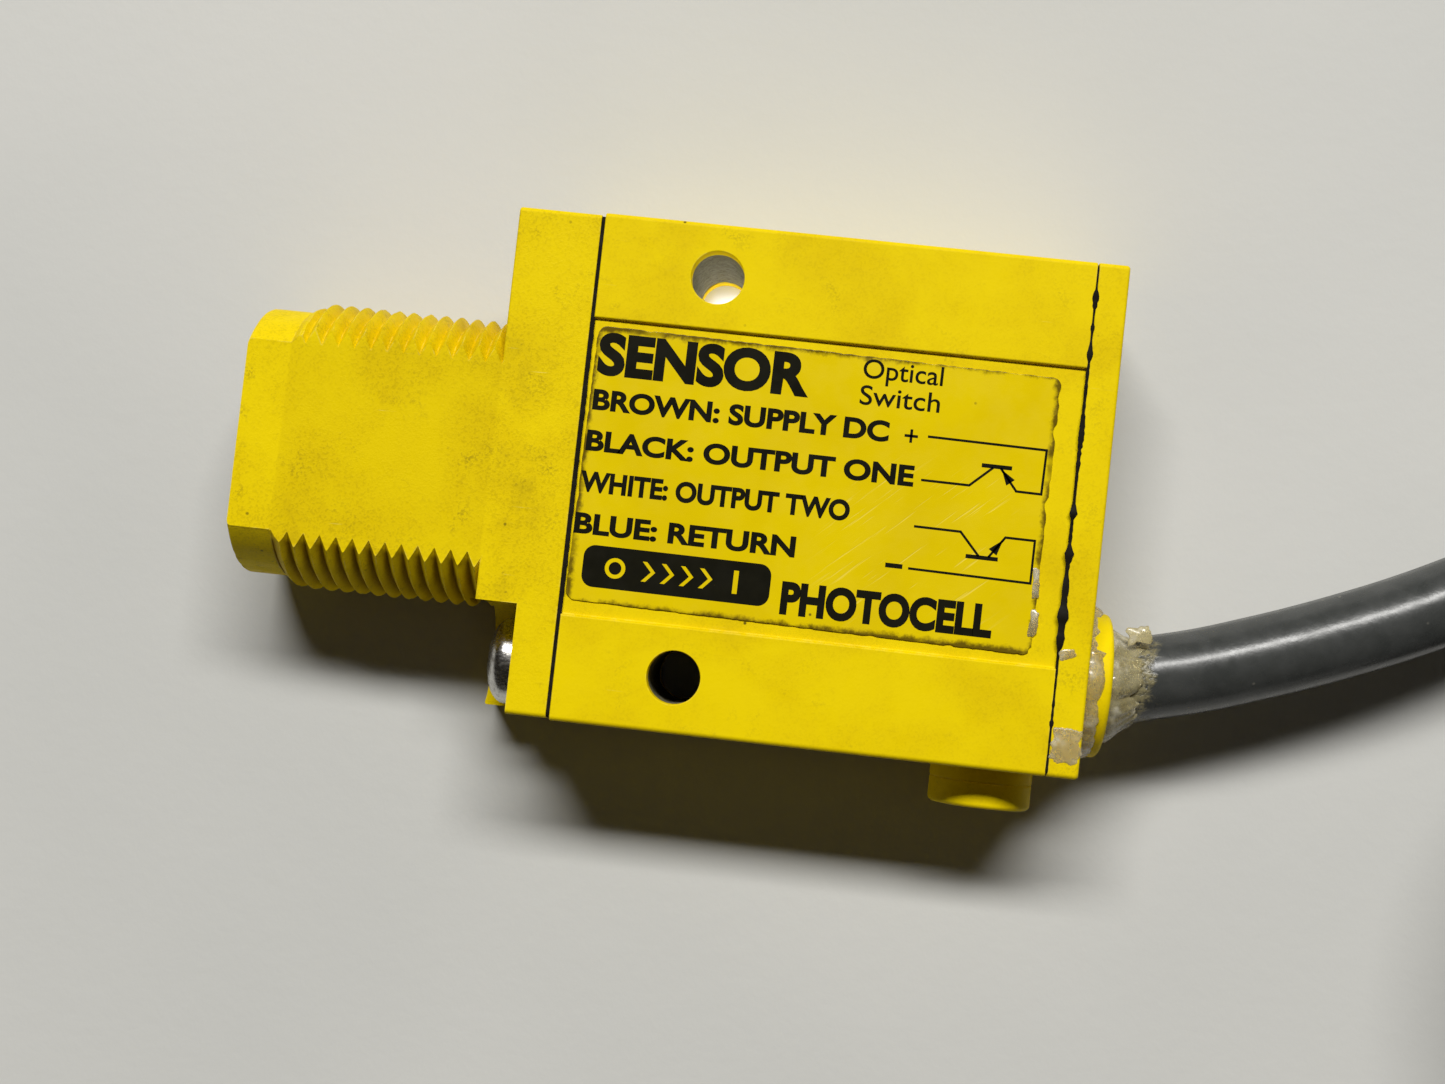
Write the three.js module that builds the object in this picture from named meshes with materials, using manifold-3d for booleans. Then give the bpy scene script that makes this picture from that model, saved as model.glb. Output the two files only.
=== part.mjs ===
// A miniature photoelectric sensor: threaded lens barrel, flat rectangular body, cable out of the rear.
// Millimetres, +Z up, lens towards -X, cable towards +X, the sensor lying on one of its wide faces.
// The dimensions are written in the sensor's own frame: X from the front face of the housing towards
// the rear, Y from the lower narrow side, Z from the wide face it lies on. The group is moved at the
// end so that the origin is the bottom centre of the sensor.
import * as THREE from "three";
import { mergeVertices } from "three/addons/utils/BufferGeometryUtils.js";
import Module from "manifold-3d";

const wasm = await Module();
wasm.setup();

// ---- body ----
const BODY_HEIGHT = 30.7;
const BODY_THICKNESS = 12.2;
const MID_Z = BODY_THICKNESS / 2;
const HOUSING_LENGTH = 29.46;
const WALL = 1.2;
const EDGE_RADIUS = 0.3;
const CAVITY_RADIUS = 0.8;

// ---- lens block ----
const FRONT_SEAL = 0.33;
const FLANGE_LENGTH = 4.95;
const FLANGE_REAR_X = -FRONT_SEAL;
const FLANGE_FRONT_X = FLANGE_REAR_X - FLANGE_LENGTH;
const FLANGE_Y = [0.1, 30.55];
const BARREL_Y = 15.2;
const NOSE_X = -20.8;
const NOSE_RADIUS = 8.35;
const NOSE_EDGE = 0.25;
const CREST_RADIUS = 9.0;
const ROOT_RADIUS = 8.38;
const THREAD_PITCH = 1.0;
const CREST_LAND = 0.12;
const FIRST_NOTCH_X = -17.05;
const NOTCH_COUNT = 12;
const LEAD_IN_RADIUS = 8.8;
const LENS_SEAT_RADIUS = 7.1;
const LENS_SEAT_HALF = 4.9;
const LENS_SEAT_DEPTH = 2.3;
const CHAMBER_RADIUS = 6.2;
const CHAMBER_HALF = 4.0;
const SEPTUM = 1.0;

// ---- screws that hold the lens block ----
const SCREW_Y = 3.1;
const SCREW_HEAD_RADIUS = 2.72;
const SCREW_HEAD_HEIGHT = 2.25;
const SCREW_SHANK_RADIUS = 1.42;
const SCREW_END_X = 3.9;
const POCKET_RADIUS = 3.62;
const POCKET_FLOOR_X = -2.73;
const BOSS_LENGTH = 4.2;
const BOSS_RADIUS = 2.4;

// ---- mounting holes ----
const HOLE_X = 7.07;
const HOLE_YS = [3.35, 27.45];
const HOLE_RADIUS = 1.6;
const SLEEVE_RADIUS = 2.6;

// ---- recess and label ----
const RECESS_Y = [6.4, 24.3];
const RECESS_DEPTH = 0.3;
const LABEL_SIZE = [27.9, 16.6];
const LABEL_CENTRE = [14.1, 15.44];
const LABEL_THICKNESS = 0.12;
const LABEL_TILT = THREE.MathUtils.degToRad(-0.65);

// ---- rear end ----
const REAR_SEAL = 0.22;
const COVER_FRONT_X = HOUSING_LENGTH + REAR_SEAL;
const COVER_REAR_X = COVER_FRONT_X + 1.8;
const WINDOW_Y = [11.6, 28.8];
const WINDOW_Z = [1.7, 10.5];
const WINDOW_REBATE = 1.1;
const WINDOW_THICKNESS = 0.85;
const WINDOW_LEDGE = 1.2;
const WINDOW_PLAY = 0.15;
const SIDE_BOSS_X = 26.33;
const SIDE_BOSS_RADIUS = 3.15;
const SIDE_BOSS_HEIGHT = 2.55;

// ---- controls behind the window ----
const GAIN_Y = 24.4;
const SWITCH_Y = 18.0;
const INDICATOR_Y = 13.9;
const CONTROL_BOARD_X = [21.9, 22.8];
const GAIN_SCREW_RADIUS = 1.5;
const SWITCH_RADIUS = 1.9;
const TURNING_PLAY = 0.08;
const CONTROL_FACE_X = 29.0;
const CONTROL_END_X = 30.2;
const CONTROL_SEAT_X = 26.8;

// ---- cable ----
const CABLE_Y = 5.6;
const CABLE_RADIUS = 2.6;
const CABLE_BORE = 2.75;
const SEALANT_BORE = 3.25;
const GLAND_RADIUS = 4.45;
const GLAND_END_X = 33.2;
const SEALANT_END_X = 34.9;
const CABLE_INNER_X = 27.0;
const FLOOR_GAP = 0.06;
const CABLE_REST_Z = CABLE_RADIUS + FLOOR_GAP;
const COIL_CENTRE = [94.35, 2.0];
const COIL_RADIUS = 27.2;
const COIL_BUNDLE = [10.6, 25.8];
const COIL_CORNER = 2.6;
const COIL_BASE_Z = 0.9;
const TIE_ANGLE = THREE.MathUtils.degToRad(99);
const TIE_WIDTH = 3.2;
const TIE_THICKNESS = 0.5;
const TIE_GAP = 0.3;
const LEAD_RADIUS = 0.6;
const LEAD_REST_Z = LEAD_RADIUS + FLOOR_GAP;

const PALETTE = {
  body: { color: 0xf2d90c, roughness: 0.5, metalness: 0 },
  acrylic: { color: 0xe9eef0, roughness: 0.08, metalness: 0 },
  redAcrylic: { color: 0xa01318, roughness: 0.15, metalness: 0 },
  smokedAcrylic: { color: 0x23262c, roughness: 0.15, metalness: 0 },
  seal: { color: 0x1a1b1c, roughness: 0.8, metalness: 0 },
  blackPlastic: { color: 0x202224, roughness: 0.55, metalness: 0 },
  bluePlastic: { color: 0x2b54a8, roughness: 0.45, metalness: 0 },
  board: { color: 0x1f6b3a, roughness: 0.5, metalness: 0 },
  steel: { color: 0xb9bcc0, roughness: 0.35, metalness: 1 },
  brass: { color: 0xc9a24a, roughness: 0.35, metalness: 1 },
  liner: { color: 0x8d8f8c, roughness: 0.85, metalness: 0 },
  label: { color: 0xeed20e, roughness: 0.3, metalness: 0 },
  sealant: { color: 0xd8cba2, roughness: 0.3, metalness: 0 },
  cable: { color: 0x6a6e72, roughness: 0.4, metalness: 0 },
  tantalum: { color: 0xd28a2c, roughness: 0.5, metalness: 0 },
  brownWire: { color: 0x5b3620, roughness: 0.45, metalness: 0 },
  blackWire: { color: 0x1c1c1e, roughness: 0.45, metalness: 0 },
  whiteWire: { color: 0xe9e8e2, roughness: 0.45, metalness: 0 },
  blueWire: { color: 0x2753a6, roughness: 0.45, metalness: 0 },
};

const AXES = {
  x: new THREE.Vector3(1, 0, 0),
  y: new THREE.Vector3(0, 1, 0),
  z: new THREE.Vector3(0, 0, 1),
};

// ---- solids ----

// A closed three.js geometry as a solid for booleans.
function solid(geometry) {
  const bare = geometry.index ? geometry.toNonIndexed() : geometry.clone();
  bare.deleteAttribute("normal");
  bare.deleteAttribute("uv");
  const merged = mergeVertices(bare, 1e-4);
  const mesh = new wasm.Mesh({
    numProp: 3,
    vertProperties: merged.attributes.position.array,
    triVerts: new Uint32Array(merged.index.array),
  });
  return new wasm.Manifold(mesh);
}

// A solid back as a three.js geometry.
function geometryOf(body) {
  const mesh = body.getMesh();
  const positions = new Float32Array(mesh.numVert * 3);
  for (let i = 0; i < mesh.numVert; i++) {
    const start = i * mesh.numProp;
    positions.set(mesh.vertProperties.subarray(start, start + 3), i * 3);
  }
  const geometry = new THREE.BufferGeometry();
  geometry.setAttribute("position", new THREE.BufferAttribute(positions, 3));
  geometry.setIndex(new THREE.BufferAttribute(new Uint32Array(mesh.triVerts), 1));
  geometry.computeVertexNormals();
  return geometry;
}

const joined = (bodies) => bodies.reduce((whole, next) => whole.add(next));

// A box between two corners.
function box(x, y, z) {
  const geometry = new THREE.BoxGeometry(x[1] - x[0], y[1] - y[0], z[1] - z[0]);
  geometry.translate((x[0] + x[1]) / 2, (y[0] + y[1]) / 2, (z[0] + z[1]) / 2);
  return solid(geometry);
}

// A flat outline pushed along one axis from start to end.
// Along x the outline is drawn in (y, z), along y in (z, x), along z in (x, y).
function prism(axis, shape, start, end, curveSegments = 8) {
  const geometry = new THREE.ExtrudeGeometry(shape, {
    depth: end - start,
    bevelEnabled: false,
    curveSegments,
  });
  geometry.translate(0, 0, start);
  const order = { x: ["y", "z", "x"], y: ["z", "x", "y"], z: ["x", "y", "z"] }[axis];
  const basis = new THREE.Matrix4().makeBasis(...order.map((name) => AXES[name]));
  return solid(geometry.applyMatrix4(basis));
}

function circle(u, v, radius) {
  return new THREE.Shape().absarc(u, v, radius, 0, 2 * Math.PI);
}

function roundedRectangle(u, v, radius) {
  const shape = new THREE.Shape();
  shape.moveTo(u[0] + radius, v[0]);
  shape.absarc(u[1] - radius, v[0] + radius, radius, -Math.PI / 2, 0);
  shape.absarc(u[1] - radius, v[1] - radius, radius, 0, Math.PI / 2);
  shape.absarc(u[0] + radius, v[1] - radius, radius, Math.PI / 2, Math.PI);
  shape.absarc(u[0] + radius, v[0] + radius, radius, Math.PI, 1.5 * Math.PI);
  return shape;
}

// A circle with its top and bottom cut flat, centred on the barrel.
function flattedCircle(radius, half) {
  const angle = Math.asin(half / radius);
  const shape = new THREE.Shape();
  shape.absarc(BARREL_Y, MID_Z, radius, -angle, angle);
  shape.absarc(BARREL_Y, MID_Z, radius, Math.PI - angle, Math.PI + angle);
  return shape;
}

function cylinder(axis, u, v, radius, start, end, sides = 32) {
  return prism(axis, circle(u, v, radius), start, end, sides / 2);
}

// A profile of [radius, x] pairs turned round an axis parallel to X.
function turned(profile, y, z, sides) {
  const points = profile.map(([radius, x]) => new THREE.Vector2(radius, x));
  const geometry = new THREE.LatheGeometry(points, sides);
  geometry.rotateZ(-Math.PI / 2);
  geometry.translate(0, y, z);
  return solid(geometry);
}

// A round bar along a smooth path.
function bar(points, radius, sides, steps) {
  const path = new THREE.CatmullRomCurve3(points.map((p) => new THREE.Vector3(...p)));
  const outline = new THREE.Shape();
  for (let i = 0; i < sides; i++) {
    const angle = (2 * Math.PI * i) / sides;
    const place = i ? "lineTo" : "moveTo";
    outline[place](radius * Math.cos(angle), radius * Math.sin(angle));
  }
  outline.closePath();
  return solid(new THREE.ExtrudeGeometry(outline, { steps, extrudePath: path }));
}

// ---- the group ----

const sensor = new THREE.Group();
sensor.name = "photoelectric_sensor";

function add(name, body, look) {
  const mesh = new THREE.Mesh(geometryOf(body), new THREE.MeshStandardMaterial(PALETTE[look]));
  mesh.name = name;
  sensor.add(mesh);
}

// ---- lens block ----

// The barrel's outline: plain nose, twelve notches of thread, and the run under the flange.
function barrelProfile() {
  const profile = [
    [0, NOSE_X],
    [NOSE_RADIUS - NOSE_EDGE, NOSE_X],
    [NOSE_RADIUS, NOSE_X + NOSE_EDGE],
    [NOSE_RADIUS, FIRST_NOTCH_X - 0.9 * THREAD_PITCH],
  ];
  for (let i = 0; i < NOTCH_COUNT; i++) {
    const notch = FIRST_NOTCH_X + i * THREAD_PITCH;
    const crest = notch - THREAD_PITCH / 2;
    const radius = i ? CREST_RADIUS : LEAD_IN_RADIUS;
    profile.push([radius, crest - CREST_LAND / 2]);
    profile.push([radius, crest + CREST_LAND / 2]);
    profile.push([ROOT_RADIUS, notch]);
  }
  profile.push([CREST_RADIUS, FLANGE_FRONT_X - 0.15]);
  profile.push([CREST_RADIUS, FLANGE_FRONT_X + 0.5]);
  profile.push([0, FLANGE_FRONT_X + 0.5]);
  return profile;
}

// The U-shaped counterbore round the lower screw, open to the upper wide face and the narrow side.
function screwPocket() {
  const shape = new THREE.Shape();
  shape.moveTo(SCREW_Y + POCKET_RADIUS, BODY_THICKNESS + 1);
  shape.lineTo(SCREW_Y - POCKET_RADIUS, BODY_THICKNESS + 1);
  shape.absarc(SCREW_Y, MID_Z, POCKET_RADIUS, Math.PI, 2 * Math.PI);
  shape.closePath();
  return prism("x", shape, FLANGE_FRONT_X - 1, POCKET_FLOOR_X, 16);
}

// The same feature on the opposite corner, turned half round the barrel.
function turnedHalf(body) {
  const middle = (FLANGE_Y[0] + FLANGE_Y[1]) / 2;
  return body
    .translate([0, -middle, -MID_Z])
    .rotate([180, 0, 0])
    .translate([0, middle, MID_Z]);
}

function opticalChambers() {
  const whole = prism("x", flattedCircle(CHAMBER_RADIUS, CHAMBER_HALF), NOSE_X + 1, 1, 8);
  const wall = [BARREL_Y - SEPTUM / 2, BARREL_Y + SEPTUM / 2];
  return whole.subtract(box([NOSE_X, FLANGE_FRONT_X + 1], wall, [0, BODY_THICKNESS]));
}

function lensBlock() {
  const flats = box([NOSE_X - 1, 1], [0, BODY_HEIGHT], [0, BODY_THICKNESS]);
  const barrel = turned(barrelProfile(), BARREL_Y, MID_Z, 52).intersect(flats);
  const outline = roundedRectangle(FLANGE_Y, [0, BODY_THICKNESS], EDGE_RADIUS);
  const flange = prism("x", outline, FLANGE_FRONT_X, FLANGE_REAR_X, 2);
  const seatEnd = NOSE_X + LENS_SEAT_DEPTH;
  const seat = prism("x", flattedCircle(LENS_SEAT_RADIUS, LENS_SEAT_HALF), NOSE_X - 1, seatEnd, 8);
  const shank = cylinder("x", SCREW_Y, MID_Z, SCREW_SHANK_RADIUS + 0.12, FLANGE_FRONT_X, 1, 20);
  const cuts = [
    seat,
    opticalChambers(),
    screwPocket(),
    turnedHalf(screwPocket()),
    shank,
    turnedHalf(shank),
  ];
  return barrel.add(flange).subtract(joined(cuts));
}

// The front lens: a flatted plate with one shallow dome over the emitter and one over the receiver.
function lens() {
  const front = NOSE_X + 0.25;
  const back = front + 1.3;
  const plate = prism("x", flattedCircle(LENS_SEAT_RADIUS - 0.1, LENS_SEAT_HALF - 0.1), front, back, 8);
  const dome = [
    [0, back - 0.1],
    [2.6, back - 0.1],
    [2.6, back],
    [2.35, back + 0.35],
    [1.7, back + 0.75],
    [0.9, back + 0.98],
    [0, back + 1.05],
  ];
  const offset = CHAMBER_RADIUS / 2;
  return joined([plate, ...[-offset, offset].map((y) => turned(dome, BARREL_Y + y, MID_Z, 24))]);
}

function lensSeal() {
  const start = NOSE_X + 1.6;
  const end = NOSE_X + LENS_SEAT_DEPTH - 0.05;
  const outer = flattedCircle(LENS_SEAT_RADIUS - 0.1, LENS_SEAT_HALF - 0.1);
  const inner = flattedCircle(CHAMBER_RADIUS + 0.05, CHAMBER_HALF + 0.1);
  return prism("x", outer, start, end, 8).subtract(prism("x", inner, start - 1, end + 1, 8));
}

function opticsHolder() {
  const outline = flattedCircle(CHAMBER_RADIUS - 0.15, CHAMBER_HALF - 0.15);
  const block = prism("x", outline, FLANGE_FRONT_X + 1.2, FLANGE_REAR_X - 0.2, 8);
  const bores = [emitterY(), receiverY()].map((y) =>
    cylinder("x", y, MID_Z, 1.62, FLANGE_FRONT_X - 1, 1, 16),
  );
  return block.subtract(joined(bores));
}

const emitterY = () => BARREL_Y + CHAMBER_RADIUS / 2;
const receiverY = () => BARREL_Y - CHAMBER_RADIUS / 2;

// A round-nosed through-hole diode looking towards -X.
function diode(y) {
  const tip = FLANGE_FRONT_X - 1.6;
  const profile = [
    [0, tip],
    [0.8, tip + 0.25],
    [1.3, tip + 0.8],
    [1.5, tip + 1.5],
    [1.5, FLANGE_REAR_X - 0.6],
    [0, FLANGE_REAR_X - 0.6],
  ];
  return turned(profile, y, MID_Z, 20);
}

function seal(start, end, inset, inner) {
  const outline = roundedRectangle(
    [FLANGE_Y[0] + inset, FLANGE_Y[1] - inset],
    [inset, BODY_THICKNESS - inset],
    EDGE_RADIUS,
  );
  return prism("x", outline, start, end, 2).subtract(inner);
}

function frontSeal() {
  const opening = roundedRectangle([5.8, 24.9], [2.0, BODY_THICKNESS - 2.0], 0.5);
  const cuts = [prism("x", opening, -1, 1, 2)];
  for (const y of [SCREW_Y, FLANGE_Y[0] + FLANGE_Y[1] - SCREW_Y])
    cuts.push(cylinder("x", y, MID_Z, SCREW_SHANK_RADIUS + 0.12, -1, 1, 20));
  return seal(FLANGE_REAR_X + 0.02, -0.02, 0.06, joined(cuts));
}

function rearSeal() {
  const opening = roundedRectangle([WALL, BODY_HEIGHT - WALL], [WALL, BODY_THICKNESS - WALL], 0.5);
  const start = HOUSING_LENGTH + 0.02;
  const end = COVER_FRONT_X - 0.02;
  return seal(start, end, 0.02, prism("x", opening, start - 1, end + 1, 2));
}

// A pan-head machine screw with a crossed recess, its head towards -X.
function lensBlockScrew() {
  const top = POCKET_FLOOR_X - SCREW_HEAD_HEIGHT;
  const profile = [
    [0, top],
    [1.3, top + 0.08],
    [2.1, top + 0.35],
    [2.55, top + 0.8],
    [SCREW_HEAD_RADIUS, top + 1.35],
    [SCREW_HEAD_RADIUS, POCKET_FLOOR_X - 0.02],
    [SCREW_SHANK_RADIUS, POCKET_FLOOR_X - 0.02],
    [SCREW_SHANK_RADIUS, SCREW_END_X - 0.4],
    [SCREW_SHANK_RADIUS - 0.4, SCREW_END_X],
    [0, SCREW_END_X],
  ];
  const depth = [top - 1, top + 1.2];
  const slot = [-0.32, 0.32];
  const arm = [-1.35, 1.35];
  const around = (range, middle) => range.map((value) => value + middle);
  const cross = joined([
    box(depth, around(arm, SCREW_Y), around(slot, MID_Z)),
    box(depth, around(slot, SCREW_Y), around(arm, MID_Z)),
  ]);
  return turned(profile, SCREW_Y, MID_Z, 28).subtract(cross);
}

// ---- housing ----

function sideBoss() {
  const start = -SIDE_BOSS_HEIGHT;
  const boss = cylinder("y", MID_Z, SIDE_BOSS_X, SIDE_BOSS_RADIUS, start, WALL, 24);
  const dimple = cylinder("y", MID_Z, SIDE_BOSS_X, 1.3, start - 1, start + 0.5, 12);
  return boss.subtract(dimple);
}

function screwBoss(y) {
  return cylinder("x", y, MID_Z, BOSS_RADIUS, 0, BOSS_LENGTH, 16);
}

function housing() {
  const outline = roundedRectangle([0, BODY_HEIGHT], [0, BODY_THICKNESS], EDGE_RADIUS);
  const cavityY = [WALL, BODY_HEIGHT - WALL];
  const cavity = roundedRectangle(cavityY, [WALL, BODY_THICKNESS - WALL], CAVITY_RADIUS);
  const shell = prism("x", outline, 0, HOUSING_LENGTH, 2).subtract(
    prism("x", cavity, -1, HOUSING_LENGTH + 1, 3),
  );
  const screwYs = [SCREW_Y, FLANGE_Y[0] + FLANGE_Y[1] - SCREW_Y];
  const whole = joined([shell, sideBoss(), ...screwYs.map(screwBoss)]);
  const length = [-1, HOUSING_LENGTH + 1];
  const cuts = [
    box(length, RECESS_Y, [BODY_THICKNESS - RECESS_DEPTH, BODY_THICKNESS + 1]),
    box(length, RECESS_Y, [-1, RECESS_DEPTH]),
  ];
  for (const y of screwYs) cuts.push(cylinder("x", y, MID_Z, SCREW_SHANK_RADIUS + 0.08, -1, 4.5, 24));
  for (const y of HOLE_YS) cuts.push(cylinder("z", HOLE_X, y, HOLE_RADIUS, -1, BODY_THICKNESS + 1, 28));
  return whole.subtract(joined(cuts));
}

function mountingSleeve(y) {
  const inset = WALL + 0.03;
  const inside = roundedRectangle(
    [inset, BODY_HEIGHT - inset],
    [inset, BODY_THICKNESS - inset],
    CAVITY_RADIUS,
  );
  const outer = cylinder("z", HOLE_X, y, SLEEVE_RADIUS, 0, BODY_THICKNESS, 24);
  const bore = cylinder("z", HOLE_X, y, HOLE_RADIUS + 0.05, 0, BODY_THICKNESS, 28);
  return outer.intersect(prism("x", inside, 0, HOUSING_LENGTH, 3)).subtract(bore);
}

function label() {
  const [width, height] = LABEL_SIZE;
  const outline = roundedRectangle([-width / 2, width / 2], [-height / 2, height / 2], 0.5);
  const floor = BODY_THICKNESS - RECESS_DEPTH + 0.01;
  return prism("z", outline, floor, floor + LABEL_THICKNESS, 3)
    .rotate([0, 0, THREE.MathUtils.radToDeg(LABEL_TILT)])
    .translate([LABEL_CENTRE[0], LABEL_CENTRE[1], 0]);
}

// ---- circuit ----

const BOARD_Z = [3.2, 4.2];

// The main board, notched at the front corners to pass the mounting sleeves.
function circuitBoard() {
  const notch = HOLE_X + SLEEVE_RADIUS + 0.5;
  const shape = new THREE.Shape();
  const outline = [
    [0.8, 6.8],
    [notch, 6.8],
    [notch, 1.8],
    [21.6, 1.8],
    [21.6, 28.9],
    [notch, 28.9],
    [notch, 23.9],
    [0.8, 23.9],
  ];
  shape.setFromPoints(outline.map(([x, y]) => new THREE.Vector2(x, y)));
  return prism("z", shape, ...BOARD_Z);
}

const onBoard = (x, y, height) => box(x, y, [BOARD_Z[1] + 0.02, BOARD_Z[1] + height]);

function controlBoard() {
  const outline = roundedRectangle([11.0, 29.0], [1.7, 10.5], 0.3);
  return prism("x", outline, ...CONTROL_BOARD_X, 2);
}

// A square trimmer or switch body on the control board, bored for its turning part.
function controlBody(y, size, radius) {
  const half = size / 2;
  const start = CONTROL_BOARD_X[1] + 0.03;
  const body = box([start, CONTROL_FACE_X], [y - half, y + half], [MID_Z - half, MID_Z + half]);
  const bore = cylinder("x", y, MID_Z, radius + TURNING_PLAY, CONTROL_SEAT_X - 0.15, 40, 48);
  return body.subtract(bore);
}

// A slotted round adjuster that turns about X.
function adjuster(y, radius, slotWidth) {
  const edge = 0.15;
  const profile = [
    [0, CONTROL_SEAT_X],
    [radius - edge, CONTROL_SEAT_X],
    [radius, CONTROL_SEAT_X + edge],
    [radius, CONTROL_END_X - edge],
    [radius - edge, CONTROL_END_X],
    [0, CONTROL_END_X],
  ];
  const across = [y - radius - 1, y + radius + 1];
  const slot = box([CONTROL_END_X - 0.7, CONTROL_END_X + 1], across, [MID_Z - slotWidth / 2, MID_Z + slotWidth / 2]);
  return turned(profile, y, MID_Z, 24).subtract(slot);
}

function indicator() {
  const start = CONTROL_BOARD_X[1] + 0.03;
  const profile = [
    [0, start],
    [1.1, start],
    [1.1, start + 0.8],
    [0.9, start + 0.8],
    [0.9, 28.9],
    [0.65, 29.5],
    [0, 29.8],
  ];
  return turned(profile, INDICATOR_Y, MID_Z, 16);
}

// ---- rear end ----

function windowOpening(inset, start, end) {
  const y = [WINDOW_Y[0] + inset, WINDOW_Y[1] - inset];
  const z = [WINDOW_Z[0] + inset, WINDOW_Z[1] - inset];
  return prism("x", roundedRectangle(y, z, 0.6), start, end, 3);
}

function rearCover() {
  const outline = roundedRectangle([0, BODY_HEIGHT], [0, BODY_THICKNESS], EDGE_RADIUS);
  const prySlot = box([COVER_REAR_X - 0.6, COVER_REAR_X + 1], [19, 21.4], [WINDOW_Z[1] - 0.1, WINDOW_Z[1] + 0.5]);
  const cuts = [
    windowOpening(0, COVER_REAR_X - WINDOW_REBATE, COVER_REAR_X + 1),
    windowOpening(WINDOW_LEDGE, 0, COVER_REAR_X),
    cylinder("x", CABLE_Y, MID_Z, 3.47, 0, COVER_REAR_X + 1, 40),
    prySlot,
  ];
  return prism("x", outline, COVER_FRONT_X, COVER_REAR_X, 2).subtract(joined(cuts));
}

function controlWindow() {
  const end = COVER_REAR_X - 0.05;
  return windowOpening(WINDOW_PLAY, end - WINDOW_THICKNESS, end);
}

function windowSeal() {
  const start = COVER_REAR_X - WINDOW_REBATE + 0.02;
  const end = COVER_REAR_X - 0.05 - WINDOW_THICKNESS - 0.02;
  return windowOpening(WINDOW_PLAY, start, end).subtract(windowOpening(WINDOW_LEDGE, start - 1, end + 1));
}

function cableGland() {
  const rim = [
    [CABLE_BORE, COVER_FRONT_X - 0.6],
    [3.38, COVER_FRONT_X - 0.6],
    [3.38, COVER_REAR_X + 0.02],
    [GLAND_RADIUS, COVER_REAR_X + 0.02],
    [GLAND_RADIUS, GLAND_END_X - 0.3],
    [GLAND_RADIUS - 0.3, GLAND_END_X],
    [CABLE_BORE, GLAND_END_X],
    [CABLE_BORE, COVER_FRONT_X - 0.6],
  ];
  return turned(rim, CABLE_Y, MID_Z, 32);
}

function glandSealant() {
  const start = GLAND_END_X + 0.03;
  const ring = [
    [SEALANT_BORE, start],
    [4.2, start],
    [4.0, start + 0.6],
    [3.6, SEALANT_END_X - 0.3],
    [SEALANT_BORE, SEALANT_END_X],
    [SEALANT_BORE, start],
  ];
  return turned(ring, CABLE_Y, MID_Z, 24);
}

// ---- cable ----

// The free cable from the gland to where it joins the coil.
const CABLE_ROUTE = [
  [CABLE_INNER_X, CABLE_Y, MID_Z],
  [31.0, CABLE_Y, MID_Z],
  [33.0, 5.65, MID_Z],
  [35.9, 6.4, 6.1],
  [39.1, 7.25, 6.05],
  [42.1, 8.25, 6.0],
  [45.0, 9.3, 6.0],
  [48.0, 10.5, 6.0],
  [50.9, 11.75, 5.95],
  [54.0, 13.25, 5.8],
  [58.2, 15.45, 5.4],
  [62.6, 17.9, 4.9],
];

// The cable's last stretch, on the floor inside the coil. It ends in four loose conductors.
const TAIL_ROUTE = [
  [107.3, -11.9, CABLE_REST_Z],
  [101.1, -15.7, CABLE_REST_Z],
  [93.9, -16.9, CABLE_REST_Z],
  [86.8, -15.4, CABLE_REST_Z],
  [80.8, -11.2, CABLE_REST_Z],
  [76.8, -5.1, CABLE_REST_Z],
  [75.4, 2.1, CABLE_REST_Z],
  [76.8, 9.2, CABLE_REST_Z],
  [80.9, 15.3, CABLE_REST_Z],
  [86.9, 19.4, CABLE_REST_Z],
];

// Each loose conductor from the end of the jacket.
const LEAD_ROUTES = {
  brown: [
    [87.2, 20.5, 3.4],
    [94.6, 20.6, 1.6],
    [101.5, 18.1, LEAD_REST_Z],
    [106.5, 13.4, LEAD_REST_Z],
    [109.1, 7.1, LEAD_REST_Z],
    [108.9, 0.5, LEAD_REST_Z],
    [105.9, -5.5, LEAD_REST_Z],
  ],
  black: [
    [87.2, 20.5, 1.9],
    [94.9, 19.2, LEAD_REST_Z],
    [101.3, 15.7, LEAD_REST_Z],
    [105.5, 10.2, LEAD_REST_Z],
    [106.9, 3.6, LEAD_REST_Z],
    [105.1, -2.9, LEAD_REST_Z],
    [100.6, -7.5, LEAD_REST_Z],
  ],
  white: [
    [88.1, 19.3, 3.4],
    [94.6, 17.7, 1.6],
    [100.1, 13.9, LEAD_REST_Z],
    [103.6, 8.0, LEAD_REST_Z],
    [103.7, 1.4, LEAD_REST_Z],
    [100.4, -4.4, LEAD_REST_Z],
    [94.9, -7.0, LEAD_REST_Z],
  ],
  blue: [
    [88.1, 19.3, 1.9],
    [94.1, 15.6, LEAD_REST_Z],
    [98.9, 10.9, LEAD_REST_Z],
    [100.9, 4.5, LEAD_REST_Z],
    [99.5, -1.8, LEAD_REST_Z],
    [94.1, -5.0, LEAD_REST_Z],
    [87.8, -4.2, LEAD_REST_Z],
  ],
};

// Short conductors inside the housing, from the cable's inner end to the main board.
function innerLeadRoute(index) {
  const y = CABLE_Y - 1.5 + index;
  const spread = 4.0 + 1.9 * index;
  return [
    [CABLE_INNER_X - 0.4, y, MID_Z + 0.2],
    [25.2, y + 0.1, MID_Z + 0.4],
    [22.6, (y + spread) / 2 - 0.3, MID_Z + 0.6],
    [20.2, spread - 0.4, MID_Z - 0.2],
    [19.4, spread - 0.4, BOARD_Z[1] + 0.6],
  ];
}

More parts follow.
